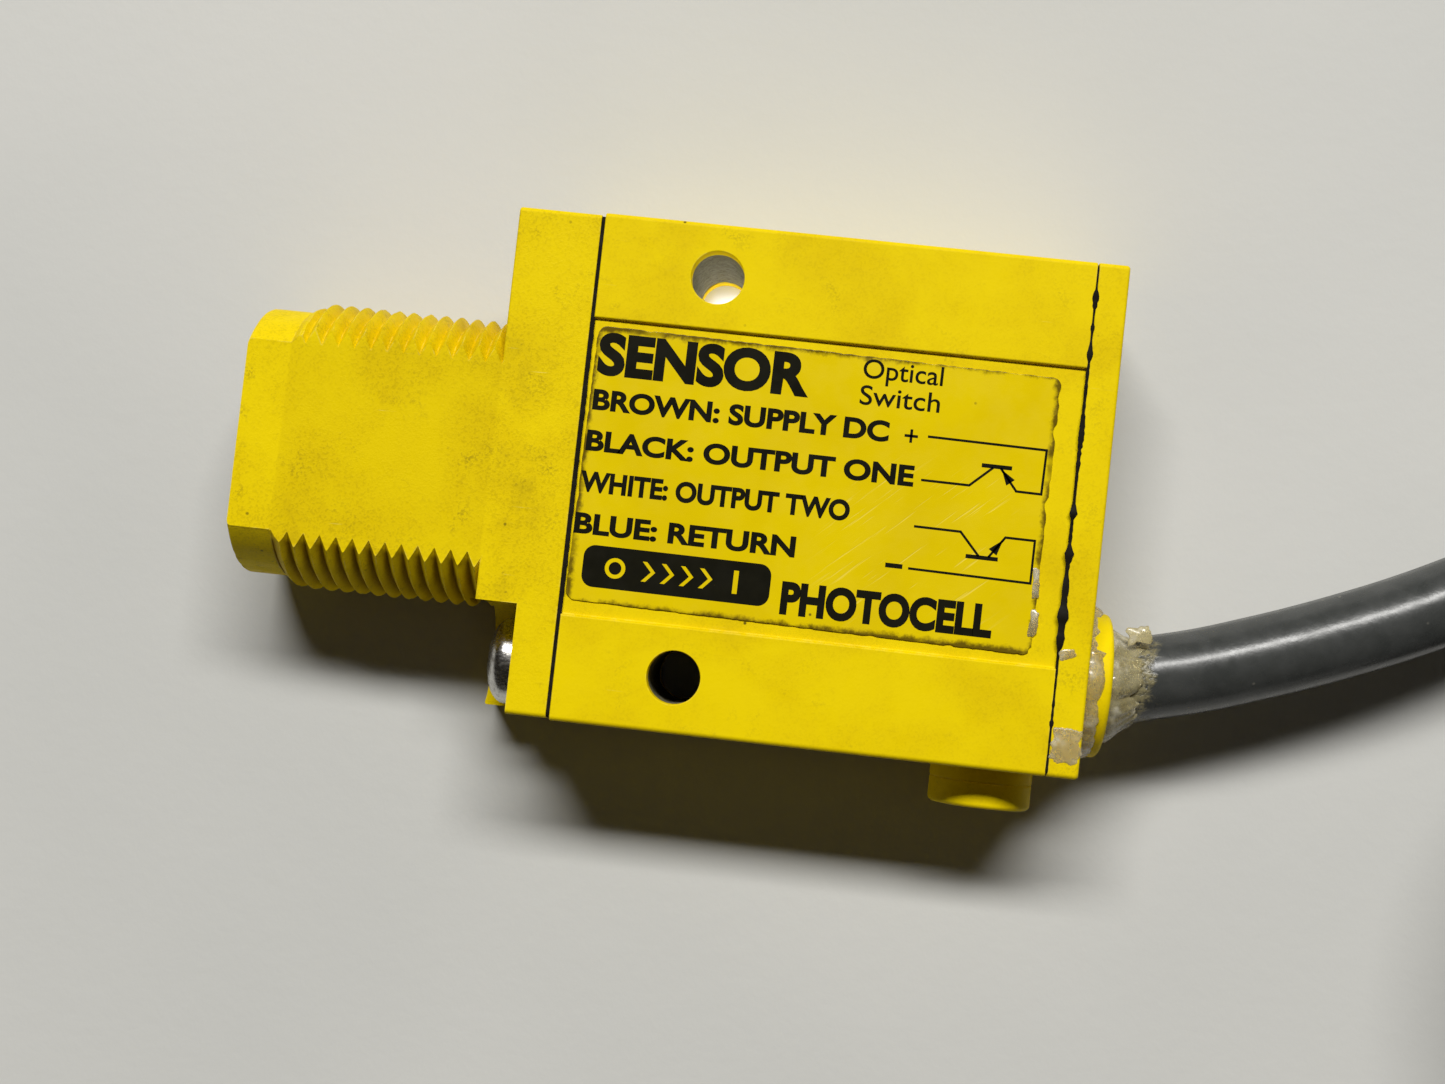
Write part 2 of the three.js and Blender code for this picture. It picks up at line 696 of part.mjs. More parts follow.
// The wound part of the cable as one round bundle lying flat.
function cableCoil() {
  const [width, height] = COIL_BUNDLE;
  const section = roundedRectangle([-width / 2, width / 2], [0, height], COIL_CORNER);
  const points = section.getPoints(2).slice(0, -1);
  points.push(points[0]);
  const profile = points.map((p) => new THREE.Vector2(COIL_RADIUS + p.x, COIL_BASE_Z + p.y));
  const geometry = new THREE.LatheGeometry(profile, 40);
  geometry.rotateX(Math.PI / 2);
  geometry.translate(COIL_CENTRE[0], COIL_CENTRE[1], 0);
  return solid(geometry);
}

// A band round the coil's bundle.
function coilTie() {
  const [width, height] = COIL_BUNDLE;
  const band = (gap) => {
    const u = [-width / 2 - gap, width / 2 + gap];
    const v = [COIL_BASE_Z - gap, COIL_BASE_Z + height + gap];
    return prism("y", roundedRectangle(v, u, COIL_CORNER), -TIE_WIDTH / 2, TIE_WIDTH / 2, 3);
  };
  const outer = TIE_GAP + TIE_THICKNESS;
  return band(outer)
    .subtract(band(TIE_GAP).scale([1, 2, 1]))
    .translate([COIL_RADIUS, 0, 0])
    .rotate([0, 0, THREE.MathUtils.radToDeg(TIE_ANGLE)])
    .translate([COIL_CENTRE[0], COIL_CENTRE[1], 0]);
}

// ---- assembly ----

add("lens_block", lensBlock(), "body");
add("lens", lens(), "redAcrylic");
add("lens_seal", lensSeal(), "seal");
add("optics_holder", opticsHolder(), "blackPlastic");
add("emitter_diode", diode(emitterY()), "acrylic");
add("receiver_diode", diode(receiverY()), "smokedAcrylic");
add("front_seal", frontSeal(), "seal");
add("lens_block_screw_lower", lensBlockScrew(), "steel");
add("lens_block_screw_upper", turnedHalf(lensBlockScrew()), "steel");

add("housing", housing(), "body");
add("mounting_sleeve_lower", mountingSleeve(HOLE_YS[0]), "liner");
add("mounting_sleeve_upper", mountingSleeve(HOLE_YS[1]), "liner");
add("label", label(), "label");

add("circuit_board", circuitBoard(), "board");
add("controller_chip", onBoard([10.5, 16.5], [12.0, 18.0], 1.5), "blackPlastic");
add("source_transistor", onBoard([17.0, 19.6], [22.4, 25.4], 1.3), "blackPlastic");
add("sink_transistor", onBoard([12.6, 15.2], [22.4, 25.4], 1.3), "blackPlastic");
add("supply_capacitor", onBoard([13.2, 16.6], [3.6, 6.4], 2.6), "tantalum");
add("amplifier_chip", onBoard([3.0, 7.0], [13.0, 18.0], 1.4), "blackPlastic");
add("control_board", controlBoard(), "board");
add("gain_trimmer", controlBody(GAIN_Y, 6.0, GAIN_SCREW_RADIUS), "bluePlastic");
add("gain_screw", adjuster(GAIN_Y, GAIN_SCREW_RADIUS, 0.5), "brass");
add("mode_switch", controlBody(SWITCH_Y, 5.6, SWITCH_RADIUS), "blackPlastic");
add("mode_switch_rotor", adjuster(SWITCH_Y, SWITCH_RADIUS, 0.7), "whiteWire");
add("indicator_led", indicator(), "redAcrylic");

add("rear_seal", rearSeal(), "seal");
add("rear_cover", rearCover(), "body");
add("window_seal", windowSeal(), "seal");
add("control_window", controlWindow(), "acrylic");
add("cable_gland", cableGland(), "body");
add("gland_sealant", glandSealant(), "sealant");

add("cable", bar(CABLE_ROUTE, CABLE_RADIUS, 10, 20), "cable");
add("cable_coil", cableCoil(), "cable");
add("coil_tie", coilTie(), "blackPlastic");
add("cable_tail", bar(TAIL_ROUTE, CABLE_RADIUS, 10, 20), "cable");
["brown", "black", "white", "blue"].forEach((colour, index) => {
  add(`lead_${colour}`, bar(LEAD_ROUTES[colour], LEAD_RADIUS, 8, 20), `${colour}Wire`);
  add(`inner_lead_${colour}`, bar(innerLeadRoute(index), 0.42, 8, 12), `${colour}Wire`);
});

sensor.position.set(-(NOSE_X + SEALANT_END_X) / 2, -(BODY_HEIGHT - SIDE_BOSS_HEIGHT) / 2, 0);

export default sensor;
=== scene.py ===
"""The looks of a miniature photoelectric sensor: worn yellow body, printed label, grey cable.

Shapes are drawn in the sensor's own frame, in millimetres: X from the front face of the housing towards
the rear, Y from the lower narrow side, Z from the wide face it lies on. TO_ROW turns them into metres in
the row frame. Materials see the same millimetres.
"""
import math

import bmesh
import bpy
from mathutils import Matrix, Vector, noise


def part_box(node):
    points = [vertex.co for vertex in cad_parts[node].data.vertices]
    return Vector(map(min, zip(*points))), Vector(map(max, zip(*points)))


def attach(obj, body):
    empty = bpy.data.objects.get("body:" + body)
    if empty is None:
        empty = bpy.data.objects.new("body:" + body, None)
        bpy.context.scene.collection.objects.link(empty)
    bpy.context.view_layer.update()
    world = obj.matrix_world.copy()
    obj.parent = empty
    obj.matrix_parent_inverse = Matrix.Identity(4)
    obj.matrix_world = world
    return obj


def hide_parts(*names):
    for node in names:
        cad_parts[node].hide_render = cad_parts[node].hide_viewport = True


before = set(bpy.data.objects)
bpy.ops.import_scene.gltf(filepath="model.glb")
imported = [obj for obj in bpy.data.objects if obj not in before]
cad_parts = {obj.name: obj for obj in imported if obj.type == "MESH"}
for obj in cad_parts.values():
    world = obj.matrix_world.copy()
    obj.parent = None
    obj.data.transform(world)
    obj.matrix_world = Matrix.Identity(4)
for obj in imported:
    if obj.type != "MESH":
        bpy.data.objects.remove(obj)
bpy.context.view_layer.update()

MM = 0.001
BODY = "sensor_body"
ORIGIN = Vector((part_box("housing")[0].x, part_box("rear_cover")[0].y, 0.0))
TO_ROW = Matrix.Translation(ORIGIN) @ Matrix.Scale(MM, 4)


def span(node):
    """Lowest and highest corner of a CAD node in the sensor's millimetres."""
    low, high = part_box(node)
    return (low - ORIGIN) / MM, (high - ORIGIN) / MM


# ---- sizes, in the sensor's millimetres ----
COVER_LOW, COVER_HIGH = span("rear_cover")
HOUSING_LOW, HOUSING_HIGH = span("housing")
BLOCK_LOW, BLOCK_HIGH = span("lens_block")
LENS_LOW, LENS_HIGH = span("lens")
SCREW_LOW, SCREW_HIGH = span("lens_block_screw_lower")
GLAND_LOW, GLAND_HIGH = span("cable_gland")
SEALANT_HIGH = span("gland_sealant")[1]
LENGTH = HOUSING_HIGH.x
HEIGHT = COVER_HIGH.y
THICK = COVER_HIGH.z
MID = THICK / 2
WALL = 1.2
EDGE = 0.3
SQUEEZE = 0.06
NOSE_X = BLOCK_LOW.x
FLANGE_REAR = BLOCK_HIGH.x
FLANGE_FRONT = FLANGE_REAR - 4.95
FLANGE_Y = (BLOCK_LOW.y, BLOCK_HIGH.y)
BARREL_Y = (LENS_LOW.y + LENS_HIGH.y) / 2
NOSE_RADIUS = 8.35
CREST_RADIUS = 9.0
ROOT_RADIUS = 8.36
PITCH = 1.0
THREAD_START = -18.15
NOTCH_PHASE = -17.18
LEAD_IN_SLOPE = 0.75
BLOCK_END = FLANGE_FRONT + 1.5
LENS_SEAT_RADIUS = 7.1
LENS_SEAT_HALF = 4.9
LENS_SEAT_DEPTH = 2.3
SCREW_BOSS_RADIUS = 2.4
SCREW_BOSS_END = 4.2
SCREW_HOLE_RADIUS = 1.5
SCREW_HOLE_END = 4.6
SLEEVE_INSET = 1.25
SLEEVE_RADIUS = 2.55
GLAND_HOLE_RADIUS = 3.47
DOME_RADIUS = 2.6
DOME_DEPTH = 1.05
CHAMBER_RADIUS = 6.2
CHAMBER_HALF = 4.0
SEPTUM = 1.0
SCREW_Y = (SCREW_LOW.y + SCREW_HIGH.y) / 2
SCREW_HEAD_RADIUS = (SCREW_HIGH.y - SCREW_LOW.y) / 2
SCREW_SHANK_RADIUS = 1.42
SCREW_HEAD_FLOOR = SCREW_LOW.x + 2.23
POCKET_RADIUS = 3.62
POCKET_FLOOR = -2.73
HOLE_X = 7.07
HOLE_YS = {"lower": 3.35, "upper": 27.45}
HOLE_RADIUS = 1.6
RECESS_Y = (6.4, 24.3)
RECESS_DEPTH = 0.3
LABEL_FLOOR = THICK - RECESS_DEPTH
LABEL_SIZE = (27.9, 16.6)
LABEL_CENTRE = (14.1, 15.44)
LABEL_TILT = math.radians(-0.65)
LABEL_THICKNESS = 0.11
INK_HEIGHT = 0.012
PRINT_TILT = math.radians(-0.3)
COVER_FRONT = COVER_LOW.x
COVER_REAR = COVER_HIGH.x
WINDOW_Y = (11.6, 28.8)
WINDOW_Z = (1.7, 10.5)
WINDOW_REBATE = 1.1
WINDOW_LEDGE = 1.2
SIDE_BOSS_X = 26.33
SIDE_BOSS_RADIUS = 3.15
GAIN_Y = 24.4
SWITCH_Y = 18.0
INDICATOR_Y = 13.9
CABLE_Y = 5.6
CABLE_RADIUS = 2.6
CABLE_REST_Z = 2.66
LEAD_RADIUS = 0.6
LEAD_REST_Z = 0.66
GLAND_RADIUS = (GLAND_HIGH.y - GLAND_LOW.y) / 2
COIL_CENTRE = (94.35, 2.0)
COIL_COLUMNS = (29.85, 24.55)
COIL_LAYERS = tuple(3.0 + 5.35 * layer for layer in range(5))
COIL_START = math.radians(121)
COIL_STEPS = 36
LAST_STEPS = 16
TAIL_RADIUS = 18.95
TIE_ANGLE = math.radians(99)


# ---- camera, light and floor ----


def make_camera():
    """A 50 mm lens almost straight above the sensor."""
    place = TO_ROW @ Vector((14.807, 7.056, 131.374))
    target = TO_ROW @ Vector((9.10, 11.70, 12.2))
    right_hint = Vector((0.99298, 0.11003, -0.0433))
    back = (place - target).normalized()
    up = back.cross(right_hint).normalized()
    right = up.cross(back)
    camera = bpy.data.objects.new("camera", bpy.data.cameras.new("camera"))
    camera.matrix_world = Matrix.Translation(place) @ Matrix((right, up, back)).transposed().to_4x4()
    camera.data.sensor_fit = "HORIZONTAL"
    camera.data.sensor_width = 36.0
    camera.data.lens = 49.9
    camera.data.clip_start = 0.005
    camera.data.clip_end = 10.0
    bpy.context.scene.collection.objects.link(camera)
    bpy.context.scene.camera = camera


def area_light(name, azimuth, elevation, distance, size, power, colour):
    """A softbox (width, height) aimed at the middle of the sensor; azimuth 0 is +Y and 90 is -X."""
    turn = math.radians(azimuth)
    rise = math.radians(elevation)
    direction = Vector((-math.sin(turn) * math.cos(rise), math.cos(turn) * math.cos(rise), math.sin(rise)))
    light = bpy.data.lights.new(name, "AREA")
    light.shape = "RECTANGLE"
    light.size, light.size_y = size
    light.energy = power
    light.color = colour
    thing = bpy.data.objects.new(name, light)
    target = TO_ROW @ Vector((LENGTH / 2, HEIGHT / 2, MID))
    thing.location = target + direction * distance
    thing.rotation_mode = "QUATERNION"
    thing.rotation_quaternion = direction.to_track_quat("Z", "Y")
    bpy.context.scene.collection.objects.link(thing)


def make_lights():
    """A long window-like light beyond the upper narrow side, and very little from elsewhere."""
    area_light("key", 2, 55.5, 1.2, (0.95, 0.17), 17.8, (1.0, 0.985, 0.955))
    area_light("fill", 200, 40, 0.9, (0.6, 0.6), 0.045, (1.0, 0.78, 0.52))
    area_light("top", 240, 80, 0.9, (0.7, 0.7), 0.06, (1.0, 0.92, 0.8))
    world = bpy.data.worlds.new("studio")
    world.use_nodes = True
    background = world.node_tree.nodes["Background"]
    background.inputs["Color"].default_value = (1.0, 0.86, 0.66, 1.0)
    background.inputs["Strength"].default_value = 0.017
    bpy.context.scene.world = world
    bpy.context.scene.view_settings.view_transform = "Standard"


def hole_light(name, place, direction, size, power):
    """A small lamp that stands for the light which leaks in under the sensor and up the upper hole."""
    light = bpy.data.lights.new(name, "AREA")
    light.shape = "RECTANGLE"
    light.size, light.size_y = (side * MM for side in size)
    light.energy = power
    thing = bpy.data.objects.new(name, light)
    thing.location = TO_ROW @ Vector(place)
    thing.rotation_mode = "QUATERNION"
    thing.rotation_quaternion = Vector(direction).to_track_quat("-Z", "Y")
    thing.visible_camera = False
    thing.visible_glossy = False
    bpy.context.scene.collection.objects.link(thing)


def make_hole_lights():
    y = HOLE_YS["upper"]
    hole_light("hole_glow_wall", (HOLE_X, y - 1.35, MID), (0.0, 1.0, 0.0), (1.2, 11.6), 1.5e-4)
    hole_light("hole_glow_floor", (HOLE_X + 0.2, y - 0.4, 0.8), (0.0, 0.0, -1.0), (1.8, 1.8), 5e-5)


def make_floor(material):
    bm = bmesh.new()
    bmesh.ops.create_grid(bm, x_segments=1, y_segments=1, size=1200)
    floor = object_from("floor", bm, material, None)


# ---- materials ----


class Look:
    """Builds one material's nodes. Its points are the sensor's millimetres, so its sizes are in mm too."""

    def __init__(self, name, **sockets):
        self.material = bpy.data.materials.new(name)
        self.material.use_nodes = True
        self.tree = self.material.node_tree
        self.tree.nodes.clear()
        output = self.tree.nodes.new("ShaderNodeOutputMaterial")
        self.shader = self.tree.nodes.new("ShaderNodeBsdfPrincipled")
        self.link(self.shader.outputs[0], output.inputs[0])
        coordinates = self.tree.nodes.new("ShaderNodeTexCoord")
        to_mm = self.tree.nodes.new("ShaderNodeVectorMath")
        to_mm.operation = "MULTIPLY_ADD"
        self.link(coordinates.outputs["Object"], to_mm.inputs[0])
        to_mm.inputs[1].default_value = (1 / MM,) * 3
        to_mm.inputs[2].default_value = tuple(-ORIGIN / MM)
        self.point = to_mm.outputs[0]
        split = self.tree.nodes.new("ShaderNodeSeparateXYZ")
        self.link(self.point, split.inputs[0])
        self.x, self.y, self.z = split.outputs
        for socket, value in sockets.items():
            self.put(socket.replace("_", " "), value)

    def link(self, source, target):
        self.tree.links.new(source, target)

    def feed(self, socket, value):
        """Links an output, or sets a constant, on one socket."""
        if isinstance(value, bpy.types.NodeSocket):
            self.link(value, socket)
        elif isinstance(value, tuple) and len(value) == 3 and socket.type == "RGBA":
            socket.default_value = (*value, 1.0)
        else:
            socket.default_value = value

    def put(self, name, value):
        if name in ("Coat", "Transmission"):
            name += " Weight"
        self.feed(self.shader.inputs[name], value)

    def stretched(self, factors):
        node = self.tree.nodes.new("ShaderNodeVectorMath")
        node.operation = "MULTIPLY"
        self.link(self.point, node.inputs[0])
        node.inputs[1].default_value = factors
        return node.outputs[0]

    def noise(self, size, detail=3.0, rough=0.55, warp=0.0, stretch=None, seed=0.0):
        """Fractal noise from 0 to 1 with features of about that size in mm."""
        node = self.tree.nodes.new("ShaderNodeTexNoise")
        node.noise_dimensions = "4D"
        node.inputs["W"].default_value = seed
        node.inputs["Scale"].default_value = 1 / size
        node.inputs["Detail"].default_value = detail
        node.inputs["Roughness"].default_value = rough
        node.inputs["Distortion"].default_value = warp
        self.link(self.stretched(stretch) if stretch else self.point, node.inputs["Vector"])
        return node.outputs[0]

    def cells(self, size, feature="F1", stretch=None, randomness=1.0):
        """Distance to scattered cells of about that size in mm."""
        node = self.tree.nodes.new("ShaderNodeTexVoronoi")
        node.feature = feature
        node.inputs["Scale"].default_value = 1 / size
        node.inputs["Randomness"].default_value = randomness
        self.link(self.stretched(stretch) if stretch else self.point, node.inputs["Vector"])
        return node.outputs["Distance"]

    def dots(self, size, edge, core, clouds, low, high):
        """Dots on cells of about that size, only where the clouds, given as noise, are dense."""
        return self.times(self.step(self.cells(size), edge, core), self.step(clouds, low, high))

    def step(self, value, low, high, out=(0.0, 1.0)):
        """Rises smoothly from out[0] to out[1] while value goes from low to high."""
        node = self.tree.nodes.new("ShaderNodeMapRange")
        node.interpolation_type = "SMOOTHSTEP"
        flipped = low > high
        ends = (high, low) if flipped else (low, high)
        results = tuple(reversed(out)) if flipped else out
        self.feed(node.inputs["Value"], value)
        node.inputs["From Min"].default_value = ends[0]
        node.inputs["From Max"].default_value = ends[1]
        node.inputs["To Min"].default_value = results[0]
        node.inputs["To Max"].default_value = results[1]
        return node.outputs["Result"]

    def calc(self, operation, a, b=0.5, clamp=False):
        node = self.tree.nodes.new("ShaderNodeMath")
        node.operation = operation
        node.use_clamp = clamp
        self.feed(node.inputs[0], a)
        self.feed(node.inputs[1], b)
        return node.outputs[0]

    def times(self, *values):
        result = values[0]
        for value in values[1:]:
            result = self.calc("MULTIPLY", result, value)
        return result

    def most(self, *values):
        result = values[0]
        for value in values[1:]:
            result = self.calc("MAXIMUM", result, value)
        return result

    def within(self, value, low, high, soft):
        """1 inside a range and 0 outside it, with soft edges."""
        rise = self.step(value, low - soft, low + soft)
        fall = self.step(value, high + soft, high - soft)
        return self.times(rise, fall)

    def mix(self, factor, a, b):
        """Colour a where factor is 0 and b where it is 1."""
        node = self.tree.nodes.new("ShaderNodeMix")
        node.data_type = "RGBA"
        self.feed(node.inputs["Factor"], factor)
        self.feed(node.inputs["A"], a)
        self.feed(node.inputs["B"], b)
        return node.outputs["Result"]

    def edge_wear(self, radius):
        """1 on sharp outer edges and 0 on flat ground."""
        bevel = self.tree.nodes.new("ShaderNodeBevel")
        bevel.samples = 4
        bevel.inputs["Radius"].default_value = radius * MM
        geometry = self.tree.nodes.new("ShaderNodeNewGeometry")
        dot = self.tree.nodes.new("ShaderNodeVectorMath")
        dot.operation = "DOT_PRODUCT"
        self.link(bevel.outputs[0], dot.inputs[0])
        self.link(geometry.outputs["True Normal"], dot.inputs[1])
        return self.step(dot.outputs["Value"], 0.995, 0.9)

    def bump(self, *layers):
        """Adds height layers of (value, height in mm), coarse first."""
        normal = None
        for value, height in layers:
            node = self.tree.nodes.new("ShaderNodeBump")
            node.inputs["Strength"].default_value = 1.0
            node.inputs["Distance"].default_value = height * MM
            self.feed(node.inputs["Height"], value)
            if normal is not None:
                self.link(normal, node.inputs["Normal"])
            normal = node.outputs[0]
        self.link(normal, self.shader.inputs["Normal"])


YELLOW = (0.86, 0.655, 0.0012)
YELLOW_DEEP = (0.78, 0.57, 0.0012)
YELLOW_PALE = (0.93, 0.76, 0.16)
DIRT = (0.10, 0.07, 0.012)
OCHRE = (0.36, 0.255, 0.002)
DARK_DIRT = (0.03, 0.022, 0.006)
# Groove colour: dirt and painted shade on the yellow, an orange-brown like the yellow in shadow.
GROOVE_DIRT_AND_SHADE = (0.24, 0.125, 0.001)


def yellow_plastic(name, grain, soiled, specks, grooves=False):
    """Moulded yellow plastic: grain is its texture's height in mm, soiled how dirty it is, from 0 to 1.

    Grooves darkens the thread's grooves with dirt and painted shade.
    """
    look = Look(name, IOR=1.46, Specular_IOR_Level=0.05)
    clouds = look.noise(6.5, 4.0, 0.6, 0.4)
    patches = look.noise(2.2, 5.0, 0.65, 0.6, seed=3.0)
    pores = look.noise(0.15, 2.0, 0.6, seed=5.0)
    fine = look.noise(0.07, 2.0, 0.5, seed=8.0)
    tint = look.mix(look.step(clouds, 0.35, 0.68), YELLOW, YELLOW_DEEP)
    grain_dirt = look.times(look.step(pores, 0.46, 0.66), look.step(clouds, 0.3, 0.62), soiled, 0.5)
    tint = look.mix(grain_dirt, tint, OCHRE)
    grime = look.times(look.step(patches, 0.52, 0.8), look.step(pores, 0.42, 0.62), soiled)
    stains = look.times(look.step(clouds, 0.5, 0.72), look.step(patches, 0.4, 0.75), soiled, 0.55)
    tint = look.mix(look.most(grime, stains), tint, DIRT)
    spots = look.dots(2.4, 0.055, 0.02, look.noise(3.0, 1.0, seed=11.0), 0.5, 0.56)
    tint = look.mix(look.times(spots, specks), tint, DARK_DIRT)
    lines = look.noise(0.5, 2.0, 0.6, stretch=(0.12, 2.4, 1.0), seed=14.0)
    scratches = look.times(look.step(lines, 0.72, 0.78), look.step(patches, 0.45, 0.6), 0.5)
    tint = look.mix(scratches, tint, YELLOW_PALE)
    edges = look.edge_wear(0.12)
    worn = look.times(edges, look.step(look.noise(0.7, 3.0, seed=17.0), 0.46, 0.62))
    tint = look.mix(look.times(worn, 0.55), tint, YELLOW_PALE)
    soil_line = look.times(edges, look.step(look.noise(1.1, 3.0, seed=21.0), 0.56, 0.7), soiled)
    tint = look.mix(look.times(soil_line, 0.7), tint, DIRT)
    if grooves:
        # Painted shade and dirt darken the thread's grooves.
        tint = look.mix(groove_dirt_and_shade(look, pores), tint, GROOVE_DIRT_AND_SHADE)
    look.put("Base Color", tint)
    look.put("Roughness", look.step(look.noise(1.2, 4.0, 0.6, seed=24.0), 0.3, 0.75, (0.42, 0.62)))
    look.bump((patches, 0.02), (pores, grain), (fine, grain * 0.45))
    return look.material


def groove_dirt_and_shade(look, pores):
    """Dirt and painted shade in the thread's grooves: thick on the barrel's lower, shaded side and thin on
    its upper one.
    """
    up = look.calc("SUBTRACT", look.z, MID)
    across = look.calc("SUBTRACT", look.y, BARREL_Y)
    squares = look.calc("ADD", look.calc("MULTIPLY", up, up), look.calc("MULTIPLY", across, across))
    depth = look.calc("ADD", look.calc("SQRT", squares), look.times(pores, 0.3))
    deep = look.step(depth, CREST_RADIUS + 0.05, ROOT_RADIUS + 0.15)
    deep = look.times(deep, look.within(look.x, THREAD_START, FLANGE_FRONT, 0.1))
    # Painted shade: the grooves on the barrel's lower side, which faces away from the key light, get the full
    # dark colour, and the upper side keeps only a little.
    shaded = look.step(across, -6.0, -6.4)
    return look.times(deep, look.most(shaded, 0.12), 0.8)


def label_look():
    """Glossy printed film: dirt along the edges, diagonal scratches, a pale worn patch at the rear edge."""
    look = Look("label_film", IOR=1.5, Specular_IOR_Level=0.1, Coat=0.05, Coat_Roughness=0.12)
    clouds = look.noise(7.0, 3.0, 0.55, 0.5)
    tint = look.mix(look.step(clouds, 0.3, 0.7), (0.79, 0.60, 0.0012), (0.73, 0.54, 0.001))
    half_x, half_y = LABEL_SIZE[0] / 2, LABEL_SIZE[1] / 2
    from_x = look.calc("ABSOLUTE", look.calc("SUBTRACT", look.x, LABEL_CENTRE[0]))
    from_y = look.calc("ABSOLUTE", look.calc("SUBTRACT", look.y, LABEL_CENTRE[1]))
    ragged = look.noise(0.8, 4.0, 0.7, seed=2.0)
    near_x = look.step(look.calc("ADD", from_x, ragged), half_x + 0.06, half_x + 0.46)
    near_y = look.step(look.calc("ADD", from_y, ragged), half_y + 0.1, half_y + 0.5)
    rim = look.times(look.most(near_x, near_y), look.step(look.noise(2.6, 2.0, seed=4.0), 0.22, 0.45))
    tint = look.mix(look.times(rim, 0.92), tint, (0.085, 0.05, 0.003))
    marked = look.times(look.within(look.x, 15.5, 25.5, 1.6), look.within(look.y, 8.6, 17.0, 1.4))
    scuffs = look.times(look.step(slanting_lines(look), 0.62, 0.72), marked)
    tint = look.mix(look.times(scuffs, 0.5), tint, (0.9, 0.72, 0.12))
    flecks = look.dots(1.7, 0.07, 0.03, look.noise(4.0, 1.0, seed=7.0), 0.5, 0.6)
    tint = look.mix(look.times(flecks, 0.8), tint, (0.05, 0.035, 0.006))
    look.put("Base Color", tint)
    rough = look.step(look.noise(1.8, 3.0, 0.6, seed=9.0), 0.3, 0.7, (0.2, 0.42))
    look.put("Roughness", look.calc("ADD", rough, look.times(scuffs, 0.25)))
    look.bump((look.noise(5.0, 2.0, seed=12.0), 0.05), (ragged, 0.012), (scuffs, -0.01))
    return look.material


def slanting_lines(look):
    """Noise drawn out into long lines that slant across the label."""
    turned = look.tree.nodes.new("ShaderNodeVectorRotate")
    turned.rotation_type = "Z_AXIS"
    turned.inputs["Angle"].default_value = math.radians(-42)
    look.link(look.point, turned.inputs["Vector"])
    drawn = look.tree.nodes.new("ShaderNodeVectorMath")
    drawn.operation = "MULTIPLY"
    drawn.inputs[1].default_value = (0.16, 3.2, 1.0)
    look.link(turned.outputs[0], drawn.inputs[0])
    lines = look.tree.nodes.new("ShaderNodeTexNoise")
    lines.inputs["Scale"].default_value = 1.6
    lines.inputs["Detail"].default_value = 2.0
    look.link(drawn.outputs[0], lines.inputs["Vector"])
    return lines.outputs[0]


def ink_look():
    look = Look("ink", IOR=1.5, Specular_IOR_Level=0.05)
    rubbed = look.step(look.noise(0.5, 4.0, 0.75, seed=1.0), 0.66, 0.8)
    tint = look.mix(look.noise(0.9, 3.0), (0.006, 0.006, 0.004), (0.013, 0.012, 0.006))
    look.put("Base Color", look.mix(look.times(rubbed, 0.5), tint, (0.25, 0.17, 0.01)))
    look.put("Roughness", look.step(look.noise(1.4, 3.0, seed=3.0), 0.3, 0.7, (0.25, 0.45)))
    look.bump((look.noise(0.35, 2.0, seed=5.0), 0.004))
    return look.material


def sheath_look():
    """Grey PVC: extrusion lines, scuffs, and a film of old adhesive near the gland."""
    look = Look("grey_sheath", IOR=1.5)
    long_noise = look.noise(1.6, 4.0, 0.6, 0.3)
    tint = look.mix(look.step(long_noise, 0.3, 0.7), (0.040, 0.043, 0.041), (0.056, 0.059, 0.057))
    scuffs = look.step(look.noise(0.35, 3.0, 0.7, seed=2.0), 0.66, 0.76)
    tint = look.mix(look.times(scuffs, 0.35), tint, (0.16, 0.16, 0.15))
    reach = look.calc("SUBTRACT", look.x, look.times(look.noise(0.9, 4.0, 0.7, 0.5, seed=4.0), 3.6))
    near = look.step(reach, SEALANT_HIGH.x - 0.6, SEALANT_HIGH.x - 1.5)
    film = look.times(near, look.step(look.noise(0.3, 3.0, 0.6, seed=6.0), 0.3, 0.55))
    tint = look.mix(look.times(film, 0.75), tint, (0.30, 0.26, 0.13))
    dust = look.dots(1.3, 0.09, 0.04, look.noise(2.0, 1.0, seed=8.0), 0.52, 0.6)
    tint = look.mix(look.times(dust, 0.6), tint, (0.2, 0.19, 0.16))
    look.put("Base Color", tint)
    look.put("Roughness", look.step(look.noise(0.8, 3.0, 0.6, seed=10.0), 0.3, 0.7, (0.24, 0.32)))
    look.bump((long_noise, 0.03), (look.noise(0.3, 2.0, seed=12.0), 0.003), (film, 0.04))
    return look.material


def metal_look(name, colour, dark, rough, lines=(1.0, 1.0, 1.0)):
    look = Look(name, Metallic=1.0)
    brushed = look.noise(0.12, 3.0, 0.6, stretch=lines, seed=1.0)
    tarnish = look.step(look.noise(0.8, 4.0, 0.7, 0.6, seed=3.0), 0.48, 0.72)
    look.put("Base Color", look.mix(look.times(tarnish, 0.7), colour, dark))
    look.put("Roughness", look.step(look.calc("ADD", brushed, look.times(tarnish, 0.3)), 0.3, 0.9, rough))
    look.bump((brushed, 0.006), (look.noise(0.6, 3.0, seed=6.0), 0.012))
    return look.material


